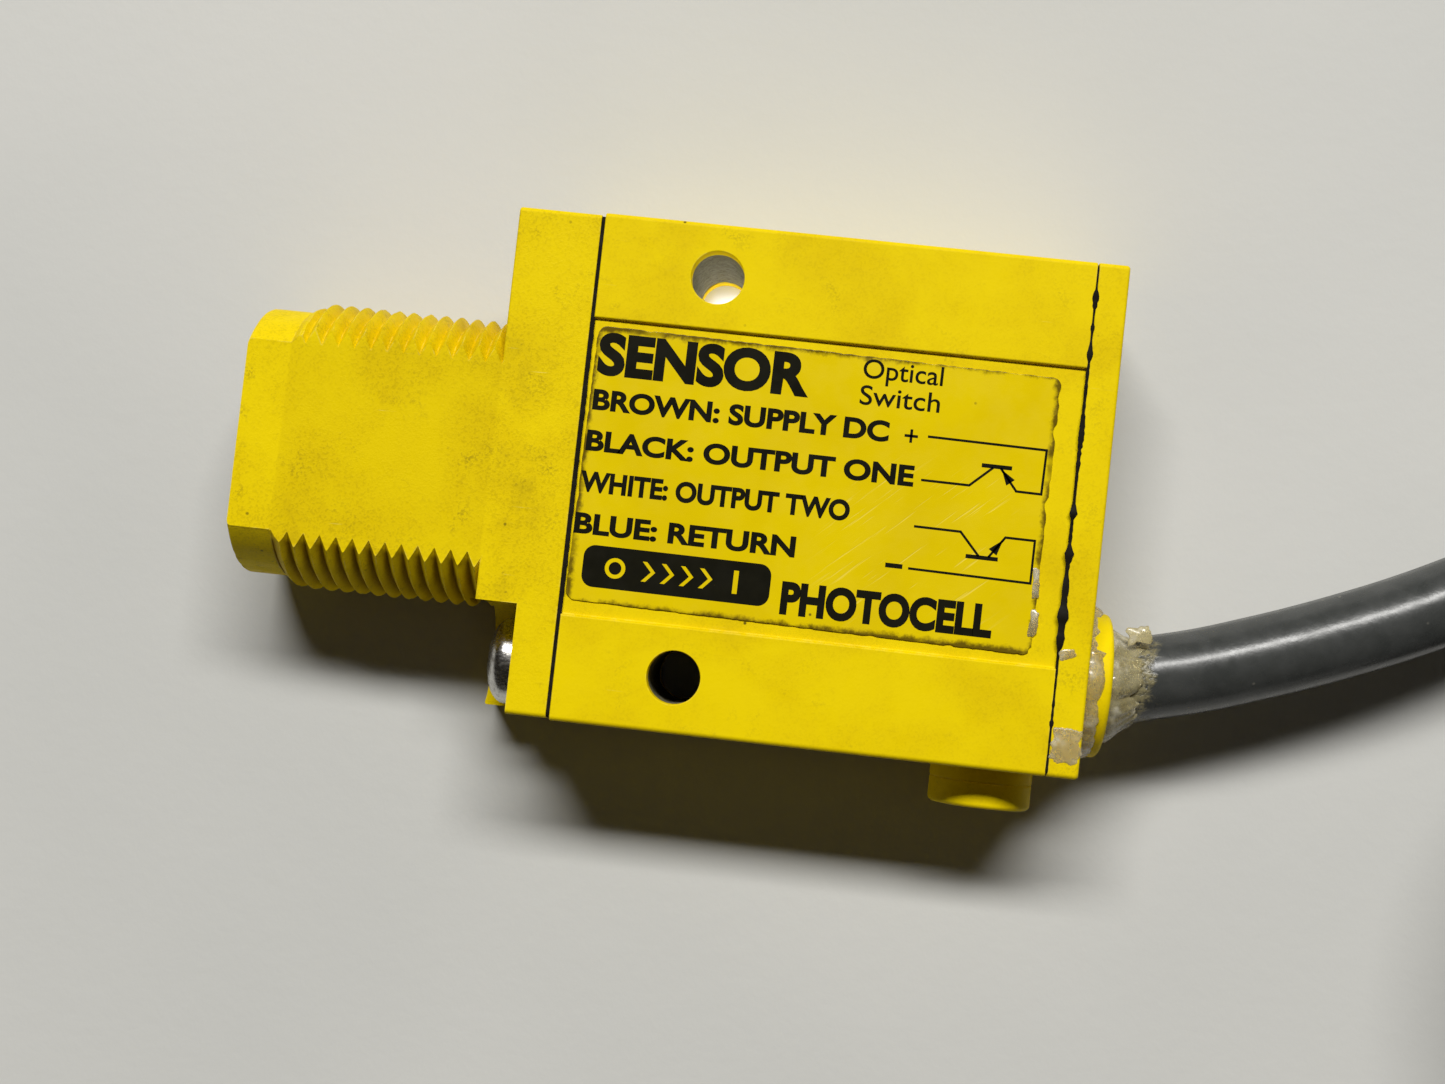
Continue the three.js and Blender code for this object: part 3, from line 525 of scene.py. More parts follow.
def plain_plastic(name, colour, rough=(0.35, 0.55), mottling=0.75, grain=0.006, **sockets):
    """Moulded plastic or rubber with a fine grain, faint mottling and scuffed patches."""
    look = Look(name, **sockets)
    darker = tuple(channel * mottling for channel in colour)
    lighter = tuple(min(1.0, channel * 1.25 + 0.01) for channel in colour)
    tint = look.mix(look.step(look.noise(1.6, 4.0, 0.6, 0.3), 0.3, 0.7), colour, darker)
    scuffs = look.step(look.noise(0.3, 3.0, 0.7, seed=2.0), 0.64, 0.74)
    look.put("Base Color", look.mix(look.times(scuffs, 0.6), tint, lighter))
    look.put("Roughness", look.step(look.noise(0.9, 3.0, 0.6, seed=4.0), 0.3, 0.7, rough))
    look.bump((look.noise(0.7, 3.0, seed=6.0), grain * 2), (look.noise(0.12, 2.0, seed=8.0), grain))
    return look.material


def liner_look():
    """Cast grey potting with dark grains and pin holes."""
    look = Look("cast_liner", IOR=1.5)
    grains = look.step(look.noise(0.22, 4.0, 0.75), 0.52, 0.66)
    tint = look.mix(look.noise(1.2, 3.0), (0.20, 0.185, 0.115), (0.13, 0.12, 0.075))
    tint = look.mix(look.times(grains, 0.75), tint, (0.045, 0.04, 0.025))
    pale = look.step(look.noise(0.3, 3.0, 0.7, seed=3.0), 0.6, 0.7)
    look.put("Base Color", look.mix(look.times(pale, 0.5), tint, (0.33, 0.31, 0.2)))
    look.put("Roughness", look.step(look.noise(0.5, 3.0, seed=5.0), 0.3, 0.7, (0.55, 0.85)))
    look.bump((grains, -0.03), (look.noise(0.15, 3.0, seed=7.0), 0.015))
    return look.material


def glue_look():
    """Aged clear adhesive: amber and half clear, with milky streaks and trapped dirt."""
    look = Look("old_adhesive", IOR=1.46, Coat=0.3, Coat_Roughness=0.14)
    clouds = look.noise(1.6, 4.0, 0.6, 0.5)
    tint = look.mix(look.step(clouds, 0.3, 0.7), (0.84, 0.76, 0.46), (0.70, 0.60, 0.30))
    milky = look.step(look.noise(1.0, 3.0, 0.6, seed=2.0), 0.45, 0.7)
    tint = look.mix(look.times(milky, 0.7), tint, (0.84, 0.80, 0.66))
    specks = look.step(look.cells(0.7), 0.12, 0.06)
    look.put("Base Color", look.mix(look.times(specks, 0.5), tint, (0.16, 0.10, 0.03)))
    look.put("Roughness", look.step(look.noise(0.5, 3.0, seed=4.0), 0.3, 0.7, (0.16, 0.36)))
    look.put("Transmission", look.step(milky, 0.0, 1.0, (0.7, 0.45)))
    look.bump((look.noise(1.0, 3.0, 0.5, seed=6.0), 0.035), (look.noise(0.2, 2.0, seed=8.0), 0.004))
    return look.material


def clear_look(name, colour, rough):
    """Clear moulded plastic with faint handling marks."""
    look = Look(name, IOR=1.49, Transmission=1.0)
    haze = look.step(look.noise(0.6, 4.0, 0.7, 0.4), 0.55, 0.75)
    lines = look.step(look.noise(0.3, 2.0, 0.6, stretch=(1.0, 0.15, 2.6), seed=2.0), 0.68, 0.75)
    pale = tuple(channel * 0.82 for channel in colour)
    look.put("Base Color", look.mix(haze, colour, pale))
    look.put("Roughness", look.calc("ADD", look.times(look.most(haze, lines), 0.16), rough))
    look.bump((look.noise(2.0, 2.0, seed=4.0), 0.01), (lines, -0.004))
    return look.material


def board_look():
    """Green solder mask over copper tracks."""
    look = Look("circuit_mask", IOR=1.5, Coat=0.4, Coat_Roughness=0.2)
    borders = look.cells(1.6, "DISTANCE_TO_EDGE", stretch=(1.0, 1.0, 0.05), randomness=0.35)
    tracks = look.step(borders, 0.09, 0.12)
    tint = look.mix(tracks, (0.04, 0.19, 0.075), (0.012, 0.075, 0.032))
    cloth = look.noise(0.25, 2.0, 0.5, seed=2.0)
    look.put("Base Color", look.mix(look.times(cloth, 0.3), tint, (0.06, 0.16, 0.07)))
    look.put("Roughness", look.step(cloth, 0.3, 0.7, (0.25, 0.42)))
    look.bump((tracks, -0.03), (cloth, 0.005))
    return look.material


def floor_look():
    """Pale matt board with very faint clouds."""
    look = Look("pale_floor", IOR=1.4)
    clouds = look.step(look.noise(60.0, 3.0, 0.5), 0.3, 0.7)
    look.put("Base Color", look.mix(clouds, (0.57, 0.575, 0.555), (0.63, 0.63, 0.605)))
    look.put("Roughness", 0.75)
    look.bump((look.noise(1.4, 3.0, 0.6, seed=2.0), 0.03))
    return look.material


# ---- mesh helpers, in the sensor's millimetres ----


def object_from(name, bm, material, body=BODY, replaces=(), sharp=34.0, weighted=True):
    """A bmesh in millimetres as an object in metres, smooth but for its sharp edges."""
    mesh = bpy.data.meshes.new(name)
    bmesh.ops.recalc_face_normals(bm, faces=bm.faces)
    bm.to_mesh(mesh)
    bm.free()
    mesh.transform(TO_ROW)
    mesh.shade_smooth()
    mesh.set_sharp_from_angle(angle=math.radians(sharp))
    mesh.materials.append(material)
    thing = bpy.data.objects.new(name, mesh)
    bpy.context.scene.collection.objects.link(thing)
    if weighted:
        modifier = thing.modifiers.new("weighted_normals", "WEIGHTED_NORMAL")
        modifier.keep_sharp = True
    if body:
        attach(thing, body)
    if replaces:
        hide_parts(*replaces)
    return thing


def skin(rings, capped=True, closed=False):
    """Faces between rings of equally many points, with flat ends, or joined end to start."""
    bm = bmesh.new()
    loops = [[bm.verts.new(point) for point in ring] for ring in rings]
    pairs = list(zip(loops, loops[1:]))
    if closed:
        pairs.append((loops[-1], loops[0]))
    count = len(loops[0])
    for first, second in pairs:
        for i in range(count):
            j = (i + 1) % count
            bm.faces.new((first[i], first[j], second[j], second[i]))
    if capped and not closed:
        bm.faces.new(loops[0])
        bm.faces.new(loops[-1])
    bmesh.ops.remove_doubles(bm, verts=bm.verts, dist=1e-5)
    bmesh.ops.recalc_face_normals(bm, faces=bm.faces)
    return bm


def arc(u, v, radius, start, end, steps):
    """Points along an arc round (u, v), from one angle to another in degrees."""
    points = []
    for k in range(steps + 1):
        turn = math.radians(start + (end - start) * k / steps)
        points.append((u + radius * math.cos(turn), v + radius * math.sin(turn)))
    return points


def rounded_outline(u, v, radius, steps=5):
    """Points round a rectangle with round corners."""
    corners = (
        (u[1] - radius, v[1] - radius, 0),
        (u[0] + radius, v[1] - radius, 90),
        (u[0] + radius, v[0] + radius, 180),
        (u[1] - radius, v[0] + radius, 270),
    )
    points = []
    for centre_u, centre_v, start in corners:
        points += arc(centre_u, centre_v, radius, start, start + 90, steps)
    return points


def bevelled_run(start, end, first, last, steps=4):
    """(position, inset) pairs along a run whose two ends are rounded over by first and last."""
    opening = arc(start + first, first, first, 180, 270, steps)
    return opening + arc(end - last, last, last, -90, 0, steps)


def slab(axis, u, v, radius, start, end, first=0.0, last=0.0, steps=5):
    """A rounded rectangle pushed along an axis. Along x it is drawn in (y, z), along z in (x, y)."""
    rings = []
    for along, inset in bevelled_run(start, end, first, last) if first or last else ((start, 0), (end, 0)):
        shrunk = max(radius - inset, 0.02)
        outline = rounded_outline((u[0] + inset, u[1] - inset), (v[0] + inset, v[1] - inset), shrunk, steps)
        rings.append([turned_point(axis, along, a, b) for a, b in outline])
    return skin(rings)


def turned_point(axis, along, u, v):
    return {"x": (along, u, v), "y": (v, along, u), "z": (u, v, along)}[axis]


def plug(axis, start, end, radius, u, v, sides):
    """A plain round bar."""
    return lathe(axis, ((start, 0.0), (start, radius), (end, radius), (end, 0.0)), u, v, sides)


def lathe(axis, profile, u, v, sides=72, closed=False):
    """(position, radius) pairs turned round an axis through (u, v)."""
    rings = []
    for along, radius in profile:
        circle = arc(u, v, radius, 0, 360, sides)[:-1]
        rings.append([turned_point(axis, along, a, b) for a, b in circle])
    return skin(rings, closed=closed)


def extrude(axis, outline, start, end):
    """Any flat outline pushed along an axis."""
    return skin([[turned_point(axis, along, a, b) for a, b in outline] for along in (start, end)])


def carve(body, tools, operation="DIFFERENCE"):
    """The body cut by, or joined to, each tool in turn."""
    things = []
    for bm in (body, *tools):
        mesh = bpy.data.meshes.new("working")
        bm.to_mesh(mesh)
        bm.free()
        thing = bpy.data.objects.new("working", mesh)
        bpy.context.scene.collection.objects.link(thing)
        things.append(thing)
    for tool in things[1:]:
        modifier = things[0].modifiers.new("carve", "BOOLEAN")
        modifier.operation = operation
        modifier.solver = "EXACT"
        modifier.object = tool
    graph = bpy.context.evaluated_depsgraph_get()
    mesh = bpy.data.meshes.new_from_object(things[0].evaluated_get(graph))
    result = bmesh.new()
    result.from_mesh(mesh)
    bpy.data.meshes.remove(mesh)
    for thing in things:
        bpy.data.meshes.remove(thing.data)
    bmesh.ops.remove_doubles(result, verts=result.verts, dist=1e-4)
    return result


def merged(parts):
    """Several bmeshes as one."""
    whole = bmesh.new()
    for bm in parts:
        mesh = bpy.data.meshes.new("working")
        bm.to_mesh(mesh)
        bm.free()
        whole.from_mesh(mesh)
        bpy.data.meshes.remove(mesh)
    return whole


def moved(bm, matrix):
    bmesh.ops.transform(bm, matrix=matrix, verts=bm.verts)
    return bm


def turned_half(bm):
    """The same feature on the opposite corner, half a turn round the barrel's middle line."""
    middle = Vector((0, sum(FLANGE_Y) / 2, MID))
    turn = Matrix.Translation(middle) @ Matrix.Rotation(math.pi, 4, "X") @ Matrix.Translation(-middle)
    return moved(bm, turn)


def flatted_outline(radius, half, steps=20):
    """A circle round the barrel's axis with its top and bottom cut flat, in (y, z)."""
    reach = math.degrees(math.asin(half / radius))
    upper = arc(BARREL_Y, MID, radius, -reach, reach, steps)
    lower = arc(BARREL_Y, MID, radius, 180 - reach, 180 + reach, steps)
    return upper + lower


# ---- lens block ----


def thread_profile():
    """(position within one pitch, radius) pairs: sharp root, straight flanks, a narrow round crest."""
    return (
        (0.00, ROOT_RADIUS),
        (0.05, ROOT_RADIUS + 0.05),
        (0.24, (ROOT_RADIUS + CREST_RADIUS) / 2),
        (0.43, CREST_RADIUS - 0.06),
        (0.50, CREST_RADIUS),
        (0.57, CREST_RADIUS - 0.06),
        (0.76, (ROOT_RADIUS + CREST_RADIUS) / 2),
        (0.95, ROOT_RADIUS + 0.05),
    )


def threaded_barrel(sides=120):
    """The barrel with its right-hand helix. A column of points climbs one pitch in one turn."""
    bm = bmesh.new()
    nose = []
    for depth, inset in ((0.0, 0.2), (0.06, 0.06), (0.2, 0.0)):
        turns = [2 * math.pi * k / sides for k in range(sides)]
        points = [barrel_point(NOSE_X + depth, NOSE_RADIUS - inset, turn) for turn in turns]
        nose.append([bm.verts.new(point) for point in points])
    columns = [[bm.verts.new(point) for point in thread_column(k, sides)] for k in range(sides)]
    pitch_points = len(thread_profile())
    for k in range(sides):
        after = columns[(k + 1) % sides]
        shift = pitch_points if k == sides - 1 else 0
        for j in range(len(columns[k]) - 1 - shift):
            bm.faces.new((columns[k][j], after[j + shift], after[j + 1 + shift], columns[k][j + 1]))
    rings = [*nose, [column[0] for column in columns]]
    for first, second in zip(rings, rings[1:]):
        for k in range(sides):
            bm.faces.new((first[k], first[(k + 1) % sides], second[(k + 1) % sides], second[k]))
    bm.faces.new(nose[0])
    bm.faces.new([column[-1] for column in columns])
    bmesh.ops.remove_doubles(bm, verts=bm.verts, dist=1e-4)
    bmesh.ops.recalc_face_normals(bm, faces=bm.faces)
    between_flats = slab("x", (BARREL_Y - 12, BARREL_Y + 12), (0, THICK), 0.01, NOSE_X - 1, BLOCK_END)
    return carve(bm, [between_flats], "INTERSECT")


def thread_column(k, sides):
    """The barrel's outline along X at one of the equal steps round it, its thread cut off at both ends."""
    points = []
    for n in range(math.ceil((BLOCK_END - THREAD_START) / PITCH) + 4):
        for along, radius in thread_profile():
            x = NOTCH_PHASE + (n - 3 + along + k / sides) * PITCH
            if x <= THREAD_START:
                x, radius = THREAD_START, NOSE_RADIUS
            elif x >= BLOCK_END:
                x, radius = BLOCK_END, ROOT_RADIUS
            else:
                radius = min(radius, NOSE_RADIUS + (x - THREAD_START) * LEAD_IN_SLOPE)
            points.append(barrel_point(x, radius, 2 * math.pi * k / sides))
    return points


def barrel_point(x, radius, angle):
    """Clockwise from the top when seen from the nose."""
    return (x, BARREL_Y - radius * math.sin(angle), MID + radius * math.cos(angle))


def screw_pocket():
    """The U-shaped counterbore round a screw, open to one wide face and the narrow side."""
    round_end = arc(SCREW_Y, MID, POCKET_RADIUS, 180, 360, 24)
    outline = [(SCREW_Y - POCKET_RADIUS, THICK + 1), *round_end, (SCREW_Y + POCKET_RADIUS, THICK + 1)]
    return extrude("x", outline, FLANGE_FRONT - 1, POCKET_FLOOR)


def bore(axis, u, v, radius, start, end, flare=0.12):
    """A tool for a through hole with slightly broken edges."""
    profile = (
        (start - 1, radius + flare),
        (start, radius + flare),
        (start + flare * 0.3, radius + flare * 0.35),
        (start + flare, radius),
        (end - flare, radius),
        (end - flare * 0.3, radius + flare * 0.35),
        (end, radius + flare),
        (end + 1, radius + flare),
    )
    return lathe(axis, profile, u, v, 64)


def screw_bore():
    return bore("x", SCREW_Y, MID, SCREW_SHANK_RADIUS + 0.12, POCKET_FLOOR, FLANGE_REAR, 0.05)


def half_chamber(side):
    """One of the two light chambers, on one side of the wall between them."""
    wall = BARREL_Y + side * SEPTUM / 2
    outline = flatted_outline(CHAMBER_RADIUS, CHAMBER_HALF)
    beyond = [(y, z) for y, z in outline if (y - wall) * side > 0]
    return extrude("x", [(wall, beyond[0][1]), *beyond, (wall, beyond[-1][1])], NOSE_X + 1, BLOCK_END)


def lens_block(material):
    """Barrel and flange in one, hollowed for the lens, the two light chambers and the two screws."""
    flange_end = FLANGE_REAR + SQUEEZE
    flange = slab("x", FLANGE_Y, (0, THICK), EDGE, FLANGE_FRONT, flange_end, 0.16, 0.06)
    seat = flatted_outline(LENS_SEAT_RADIUS, LENS_SEAT_HALF)
    shared = flatted_outline(CHAMBER_RADIUS, CHAMBER_HALF)
    tools = [
        extrude("x", seat, NOSE_X - 1, NOSE_X + LENS_SEAT_DEPTH),
        half_chamber(-1),
        half_chamber(1),
        extrude("x", shared, FLANGE_FRONT + 1, 1),
        screw_pocket(),
        turned_half(screw_pocket()),
        screw_bore(),
        turned_half(screw_bore()),
    ]
    body = carve(carve(threaded_barrel(), [flange], "UNION"), tools)
    rough_edges(body)
    object_from("lens_block_threaded", body, material, replaces=["lens_block"], sharp=24)


def rough_edges(bm):
    """Crests and the nose rim are nicked by handling."""
    for vertex in bm.verts:
        x, y, z = vertex.co
        if x > FLANGE_FRONT - 0.02:
            continue
        out = Vector((0, y - BARREL_Y, z - MID))
        if out.length < NOSE_RADIUS - 0.3 or z < 0.02 or z > THICK - 0.02:
            continue
        nick = noise.noise(Vector((x * 2.3, y * 1.7, z * 1.7)))
        if nick > 0.15:
            vertex.co -= out.normalized() * (nick - 0.15) * 0.16


def lens_block_screws(material):
    """Pan-head screws with a crossed recess, their heads towards the nose."""
    for name, place in (("lower", lambda bm: bm), ("upper", turned_half)):
        screw = place(one_screw())
        node = f"lens_block_screw_{name}"
        object_from(f"pan_head_screw_{name}", screw, material, replaces=[node], sharp=30)


def one_screw():
    top = SCREW_LOW.x
    radius = SCREW_HEAD_RADIUS
    profile = [(top, 0.0)]
    for k in range(1, 9):
        angle = math.pi / 2 * k / 8
        profile.append((top + 1.25 * (1 - math.cos(angle)), radius * math.sin(angle) ** 0.8))
    profile += [
        (SCREW_HEAD_FLOOR - 0.12, radius),
        (SCREW_HEAD_FLOOR - 0.02, radius - 0.1),
        (SCREW_HEAD_FLOOR, radius - 0.25),
        (SCREW_HEAD_FLOOR, SCREW_SHANK_RADIUS),
        (SCREW_HIGH.x - 0.4, SCREW_SHANK_RADIUS),
        (SCREW_HIGH.x, SCREW_SHANK_RADIUS - 0.4),
        (SCREW_HIGH.x, 0.0),
    ]
    arms = [cross_arm(top, turn) for turn in (0.0, math.pi / 2)]
    return carve(lathe("x", profile, SCREW_Y, MID, 64), arms)


def cross_arm(top, turn):
    """A tapered blade of the crossed recess."""
    rings = []
    for along, reach, half in ((top - 0.5, 1.55, 0.36), (top + 0.5, 1.3, 0.33), (top + 1.5, 0.5, 0.26)):
        corners = ((-reach, -half), (reach, -half), (reach, half), (-reach, half))
        ring = []
        for a, b in corners:
            y = a * math.cos(turn) - b * math.sin(turn)
            z = a * math.sin(turn) + b * math.cos(turn)
            ring.append((along, SCREW_Y + y, MID + z))
        rings.append(ring)
    return skin(rings)


def front_lens(material):
    """A flatted plate with one shallow dome behind it for the emitter and one for the receiver."""
    front, back = LENS_LOW.x, LENS_LOW.x + 1.3
    rings = []
    for along, inset in bevelled_run(front, back, 0.18, 0.05):
        outline = flatted_outline(LENS_SEAT_RADIUS - 0.1 - inset, LENS_SEAT_HALF - 0.1 - inset)
        rings.append([(along, y, z) for y, z in outline])
    dome = [(back + DOME_DEPTH * a, DOME_RADIUS * b) for a, b in arc(0, 0, 1, 90, 0, 8)]
    profile = [(back - 0.1, 0.0), (back - 0.1, DOME_RADIUS), *dome[1:]]
    middles = (BARREL_Y - CHAMBER_RADIUS / 2, BARREL_Y + CHAMBER_RADIUS / 2)
    domes = [lathe("x", profile, y, MID, 48) for y in middles]
    lens = carve(skin(rings), domes, "UNION")
    object_from("front_lens", lens, material, replaces=["lens"])


# ---- gaskets ----


def gasket(name, start, end, inset, frame_width, blobs, material, replaces):
    """A thin pressed gasket whose outer edge and thickness wander a little."""
    outer = rounded_outline((FLANGE_Y[0] + inset, FLANGE_Y[1] - inset), (inset, THICK - inset), EDGE, 6)
    outer = subdivided(outer, 0.2)
    middle = Vector((0, HEIGHT / 2, MID))
    rings = []
    for y, z in outer:
        point = Vector((0, y, z))
        swell = 0.035 * noise.noise(point * 0.9) + 0.045 * noise.noise(point * 2.6)
        swell += 0.03 * noise.noise(point * 6.3)
        for centre_y, centre_z, size, height in blobs:
            distance = math.hypot(y - centre_y, z - centre_z)
            swell += height * math.exp(-((distance / size) ** 2))
        outward = Vector((0, math.copysign(min(1, abs(y - middle.y) ** 6 / 14.9**6), y - middle.y), 0))
        outward.z = math.copysign(1.0, z - MID) if abs(z - MID) > MID - inset - 0.35 else 0.0
        outward.normalize()
        wide = max(0.0, swell) * 1.5
        y_out, z_out = y + outward.y * swell, z + outward.z * swell
        y_in, z_in = y - outward.y * frame_width, z - outward.z * frame_width
        crown = outward * 0.04
        ring = [
            (start - wide, y_out, z_out),
            ((start + end) / 2, y_out + crown.y, z_out + crown.z),
            (end + wide, y_out, z_out),
            (end, y_in, z_in),
            (start, y_in, z_in),
        ]
        rings.append(ring)
    loop = skin(rings, closed=True)
    object_from(name, loop, material, replaces=replaces, sharp=50, weighted=False)


def subdivided(outline, step):
    """The outline again with points no further apart than step."""
    points = []
    for (a, b), (c, d) in zip(outline, outline[1:] + outline[:1]):
        count = max(1, math.ceil(math.hypot(c - a, d - b) / step))
        for k in range(count):
            points.append((a + (c - a) * k / count, b + (d - b) * k / count))
    return points


def gaskets(material):
    gasket("front_gasket", FLANGE_REAR + 0.02, -0.02, 0.1, 1.0, [], material, ["front_seal"])
    blobs = (
        (9.6, THICK, 0.8, 0.15),
        (8.1, THICK, 0.45, 0.12),
        (11.3, THICK, 0.6, 0.1),
        (13.2, THICK, 0.4, 0.13),
        (15.8, THICK, 0.5, 0.08),
        (20.5, THICK, 0.6, 0.07),
        (25.2, THICK, 0.4, 0.06),
        (28.4, THICK, 0.5, 0.06),
        (3.0, 0.0, 0.7, 0.06),
    )
    gasket("rear_gasket", LENGTH + 0.02, COVER_FRONT - 0.02, 0.03, 0.95, blobs, material, ["rear_seal"])


# ---- housing ----


def recess_tool(face, direction, start, end):
    """The shallow label recess, with softly rounded shoulders. Direction is 1 on the upper face."""
    soft, floor = 0.14, 0.1
    half = arc(RECESS_Y[0] - soft, -soft, soft, 90, 0, 4)
    half += arc(RECESS_Y[0] + floor, floor - RECESS_DEPTH, floor, 180, 270, 4)
    width = RECESS_Y[0] + RECESS_Y[1]
    outline = [(RECESS_Y[0] - soft, 1.0), *half, *[(width - y, z) for y, z in reversed(half)]]
    outline.append((RECESS_Y[1] + soft, 1.0))
    return extrude("x", [(y, face + direction * z) for y, z in outline], start, end)


def side_boss():
    """The round boss on the narrow side, with a rounded rim, a parting line and a small dimple."""
    low = HOUSING_LOW.y
    rim = 0.3
    profile = [(low + 0.45, 0.0), (low + 0.45, 1.1), (low + 0.35, 1.25), (low, 1.42)]
    profile += arc(low + rim, SIDE_BOSS_RADIUS - rim, rim, 180, 90, 5)
    profile += [
        (low + 1.5, SIDE_BOSS_RADIUS),
        (low + 1.56, SIDE_BOSS_RADIUS - 0.05),
        (low + 1.62, SIDE_BOSS_RADIUS),
        (-0.12, SIDE_BOSS_RADIUS + 0.02),
        (0.02, SIDE_BOSS_RADIUS + 0.12),
        (WALL * 0.8, SIDE_BOSS_RADIUS + 0.12),
        (WALL * 0.8, 0.0),
    ]
    return lathe("y", profile, MID, SIDE_BOSS_X, 72)


def housing(material):
    shell = slab("x", (0, HEIGHT), (0, THICK), EDGE, -SQUEEZE, LENGTH + SQUEEZE, 0.09, 0.09)
    bosses = [side_boss()]
    cavity = slab("x", (WALL, HEIGHT - WALL), (WALL, THICK - WALL), 0.8, -1, LENGTH + 1)
    shell = carve(shell, [cavity])
    for turn in (lambda bm: bm, turned_half):
        bosses.append(turn(plug("x", 0.02, SCREW_BOSS_END, SCREW_BOSS_RADIUS, SCREW_Y, MID, 40)))
    shell = carve(shell, bosses, "UNION")
    tools = [
        recess_tool(THICK, 1, -1, LENGTH + 1),
        recess_tool(0.0, -1, -1, LENGTH + 1),
    ]
    for turn in (lambda bm: bm, turned_half):
        tools.append(turn(plug("x", -1, SCREW_HOLE_END, SCREW_HOLE_RADIUS, SCREW_Y, MID, 32)))
    for y in HOLE_YS.values():
        tools.append(bore("z", HOLE_X, y, HOLE_RADIUS, 0.0, THICK, 0.07))
    object_from("housing_shell", carve(shell, tools), material, replaces=["housing"], sharp=28)


def mounting_sleeves(material):
    """Cast sleeves that line the cross holes, rough inside."""
    for name, y in HOLE_YS.items():
        steps = 26
        low, high = SLEEVE_INSET, THICK - SLEEVE_INSET
        profile = [(low + (high - low) * k / steps, HOLE_RADIUS + 0.03) for k in range(steps + 1)]
        outward = min(SLEEVE_RADIUS, y - SLEEVE_INSET if y < HEIGHT / 2 else HEIGHT - SLEEVE_INSET - y)
        profile += [(high, outward), (low, outward)]
        bm = lathe("z", profile, HOLE_X, y, 64, closed=True)
        centre = Vector((HOLE_X, y, 0))
        for vertex in bm.verts:
            out = vertex.co - centre
            out.z = 0
            if out.length < HOLE_RADIUS + 0.2:
                vertex.co += out.normalized() * 0.07 * noise.noise(vertex.co * 1.9)
        object_from(f"cast_sleeve_{name}", bm, material, replaces=[f"mounting_sleeve_{name}"])


# ---- label ----


def label_sheet(material):
    """A thin film with nicked edges and round corners, pressed into the recess."""
    half_x, half_y = LABEL_SIZE[0] / 2, LABEL_SIZE[1] / 2
    outline = subdivided(rounded_outline((-half_x, half_x), (-half_y, half_y), 0.55, 6), 0.22)
    rings = []
    for height, inset in ((0.012, 0.0), (LABEL_THICKNESS * 0.7, 0.0), (LABEL_THICKNESS, 0.045)):
        rings.append([worn_label_point(x, y, half_x, half_y, inset, height) for x, y in outline])
    bm = skin(rings)
    place = Matrix.Translation((*LABEL_CENTRE, LABEL_FLOOR)) @ Matrix.Rotation(LABEL_TILT, 4, "Z")
    object_from("printed_label", moved(bm, place), material, replaces=["label"], sharp=50)


def worn_label_point(x, y, half_x, half_y, inset, height):
    """A point of the label's edge, pulled in where it is worn: most along the rear edge."""
    here = Vector((x, y, 0))
    nibble = max(0.0, noise.noise(here * 1.7)) * 0.1 + max(0.0, noise.noise(here * 5.1)) * 0.05
    if x > half_x - 0.1:
        nibble += max(0.0, noise.noise(Vector((7.0, y * 0.9, 3.0)))) * 0.4
    pull_x = (nibble + inset) * (1 if abs(x) > half_x - 0.6 else 0)
    pull_y = (nibble + inset) * (1 if abs(y) > half_y - 0.6 else 0)
    return (x - math.copysign(pull_x, x), y - math.copysign(pull_y, y), height)


def text_mesh(words, weight):
    """Words as a closed flat solid, 1 unit to the em; weight fattens the strokes."""
    font = bpy.data.curves.new("words", "FONT")
    font.body = words
    font.offset = weight
    font.extrude = 0.5
    font.resolution_u = 6
    thing = bpy.data.objects.new("words", font)
    bpy.context.scene.collection.objects.link(thing)
    graph = bpy.context.evaluated_depsgraph_get()
    mesh = bpy.data.meshes.new_from_object(thing.evaluated_get(graph))
    bm = bmesh.new()
    bm.from_mesh(mesh)
    bpy.data.meshes.remove(mesh)
    bpy.data.curves.remove(font)
    bmesh.ops.remove_doubles(bm, verts=bm.verts, dist=1e-5)
    return bm


def printed(words, x, baseline, capital, weight):
    """Words that fill x[0] to x[1] with capitals of that height, standing INK_HEIGHT proud."""
    bm = text_mesh(words, weight)
    tall = text_mesh("H", weight)
    capital_height = max(vertex.co.y for vertex in tall.verts)
    tall.free()
    low = min(vertex.co.x for vertex in bm.verts)
    high = max(vertex.co.x for vertex in bm.verts)
    scale = Matrix.Diagonal(((x[1] - x[0]) / (high - low), capital / capital_height, INK_HEIGHT, 1))
    return moved(bm, Matrix.Translation((x[0], baseline, 0)) @ scale @ Matrix.Translation((-low, 0, 0)))


def stroke(points, width):
    """A drawn line of that width with mitred corners."""
    left, right = [], []
    for i, (x, y) in enumerate(points):
        before = Vector(points[max(i - 1, 0)])
        after = Vector(points[min(i + 1, len(points) - 1)])
        here = Vector((x, y))
        first = (here - before).normalized() if i else (after - here).normalized()
        second = (after - here).normalized() if i < len(points) - 1 else first
        normal = (Vector((-first.y, first.x)) + Vector((-second.y, second.x))).normalized()
        reach = width / 2 / max(0.35, normal.dot(Vector((-first.y, first.x))))
        left.append(here + normal * reach)
        right.append(here - normal * reach)
    outline = [*left, *reversed(right)]
    return extrude("z", [(p.x, p.y) for p in outline], -INK_HEIGHT / 2, INK_HEIGHT / 2)


def triangle(tip, base, half):
    """A filled arrow head from base to tip."""
    tip, base = Vector(tip), Vector(base)
    along = (tip - base).normalized()
    across = Vector((-along.y, along.x)) * half
    outline = [tuple(tip), tuple(base + across), tuple(base - across)]
    return extrude("z", outline, -INK_HEIGHT / 2, INK_HEIGHT / 2)


def bar_mark(x, y):
    outline = [(x[0], y[0]), (x[1], y[0]), (x[1], y[1]), (x[0], y[1])]
    return extrude("z", outline, -INK_HEIGHT / 2, INK_HEIGHT / 2)


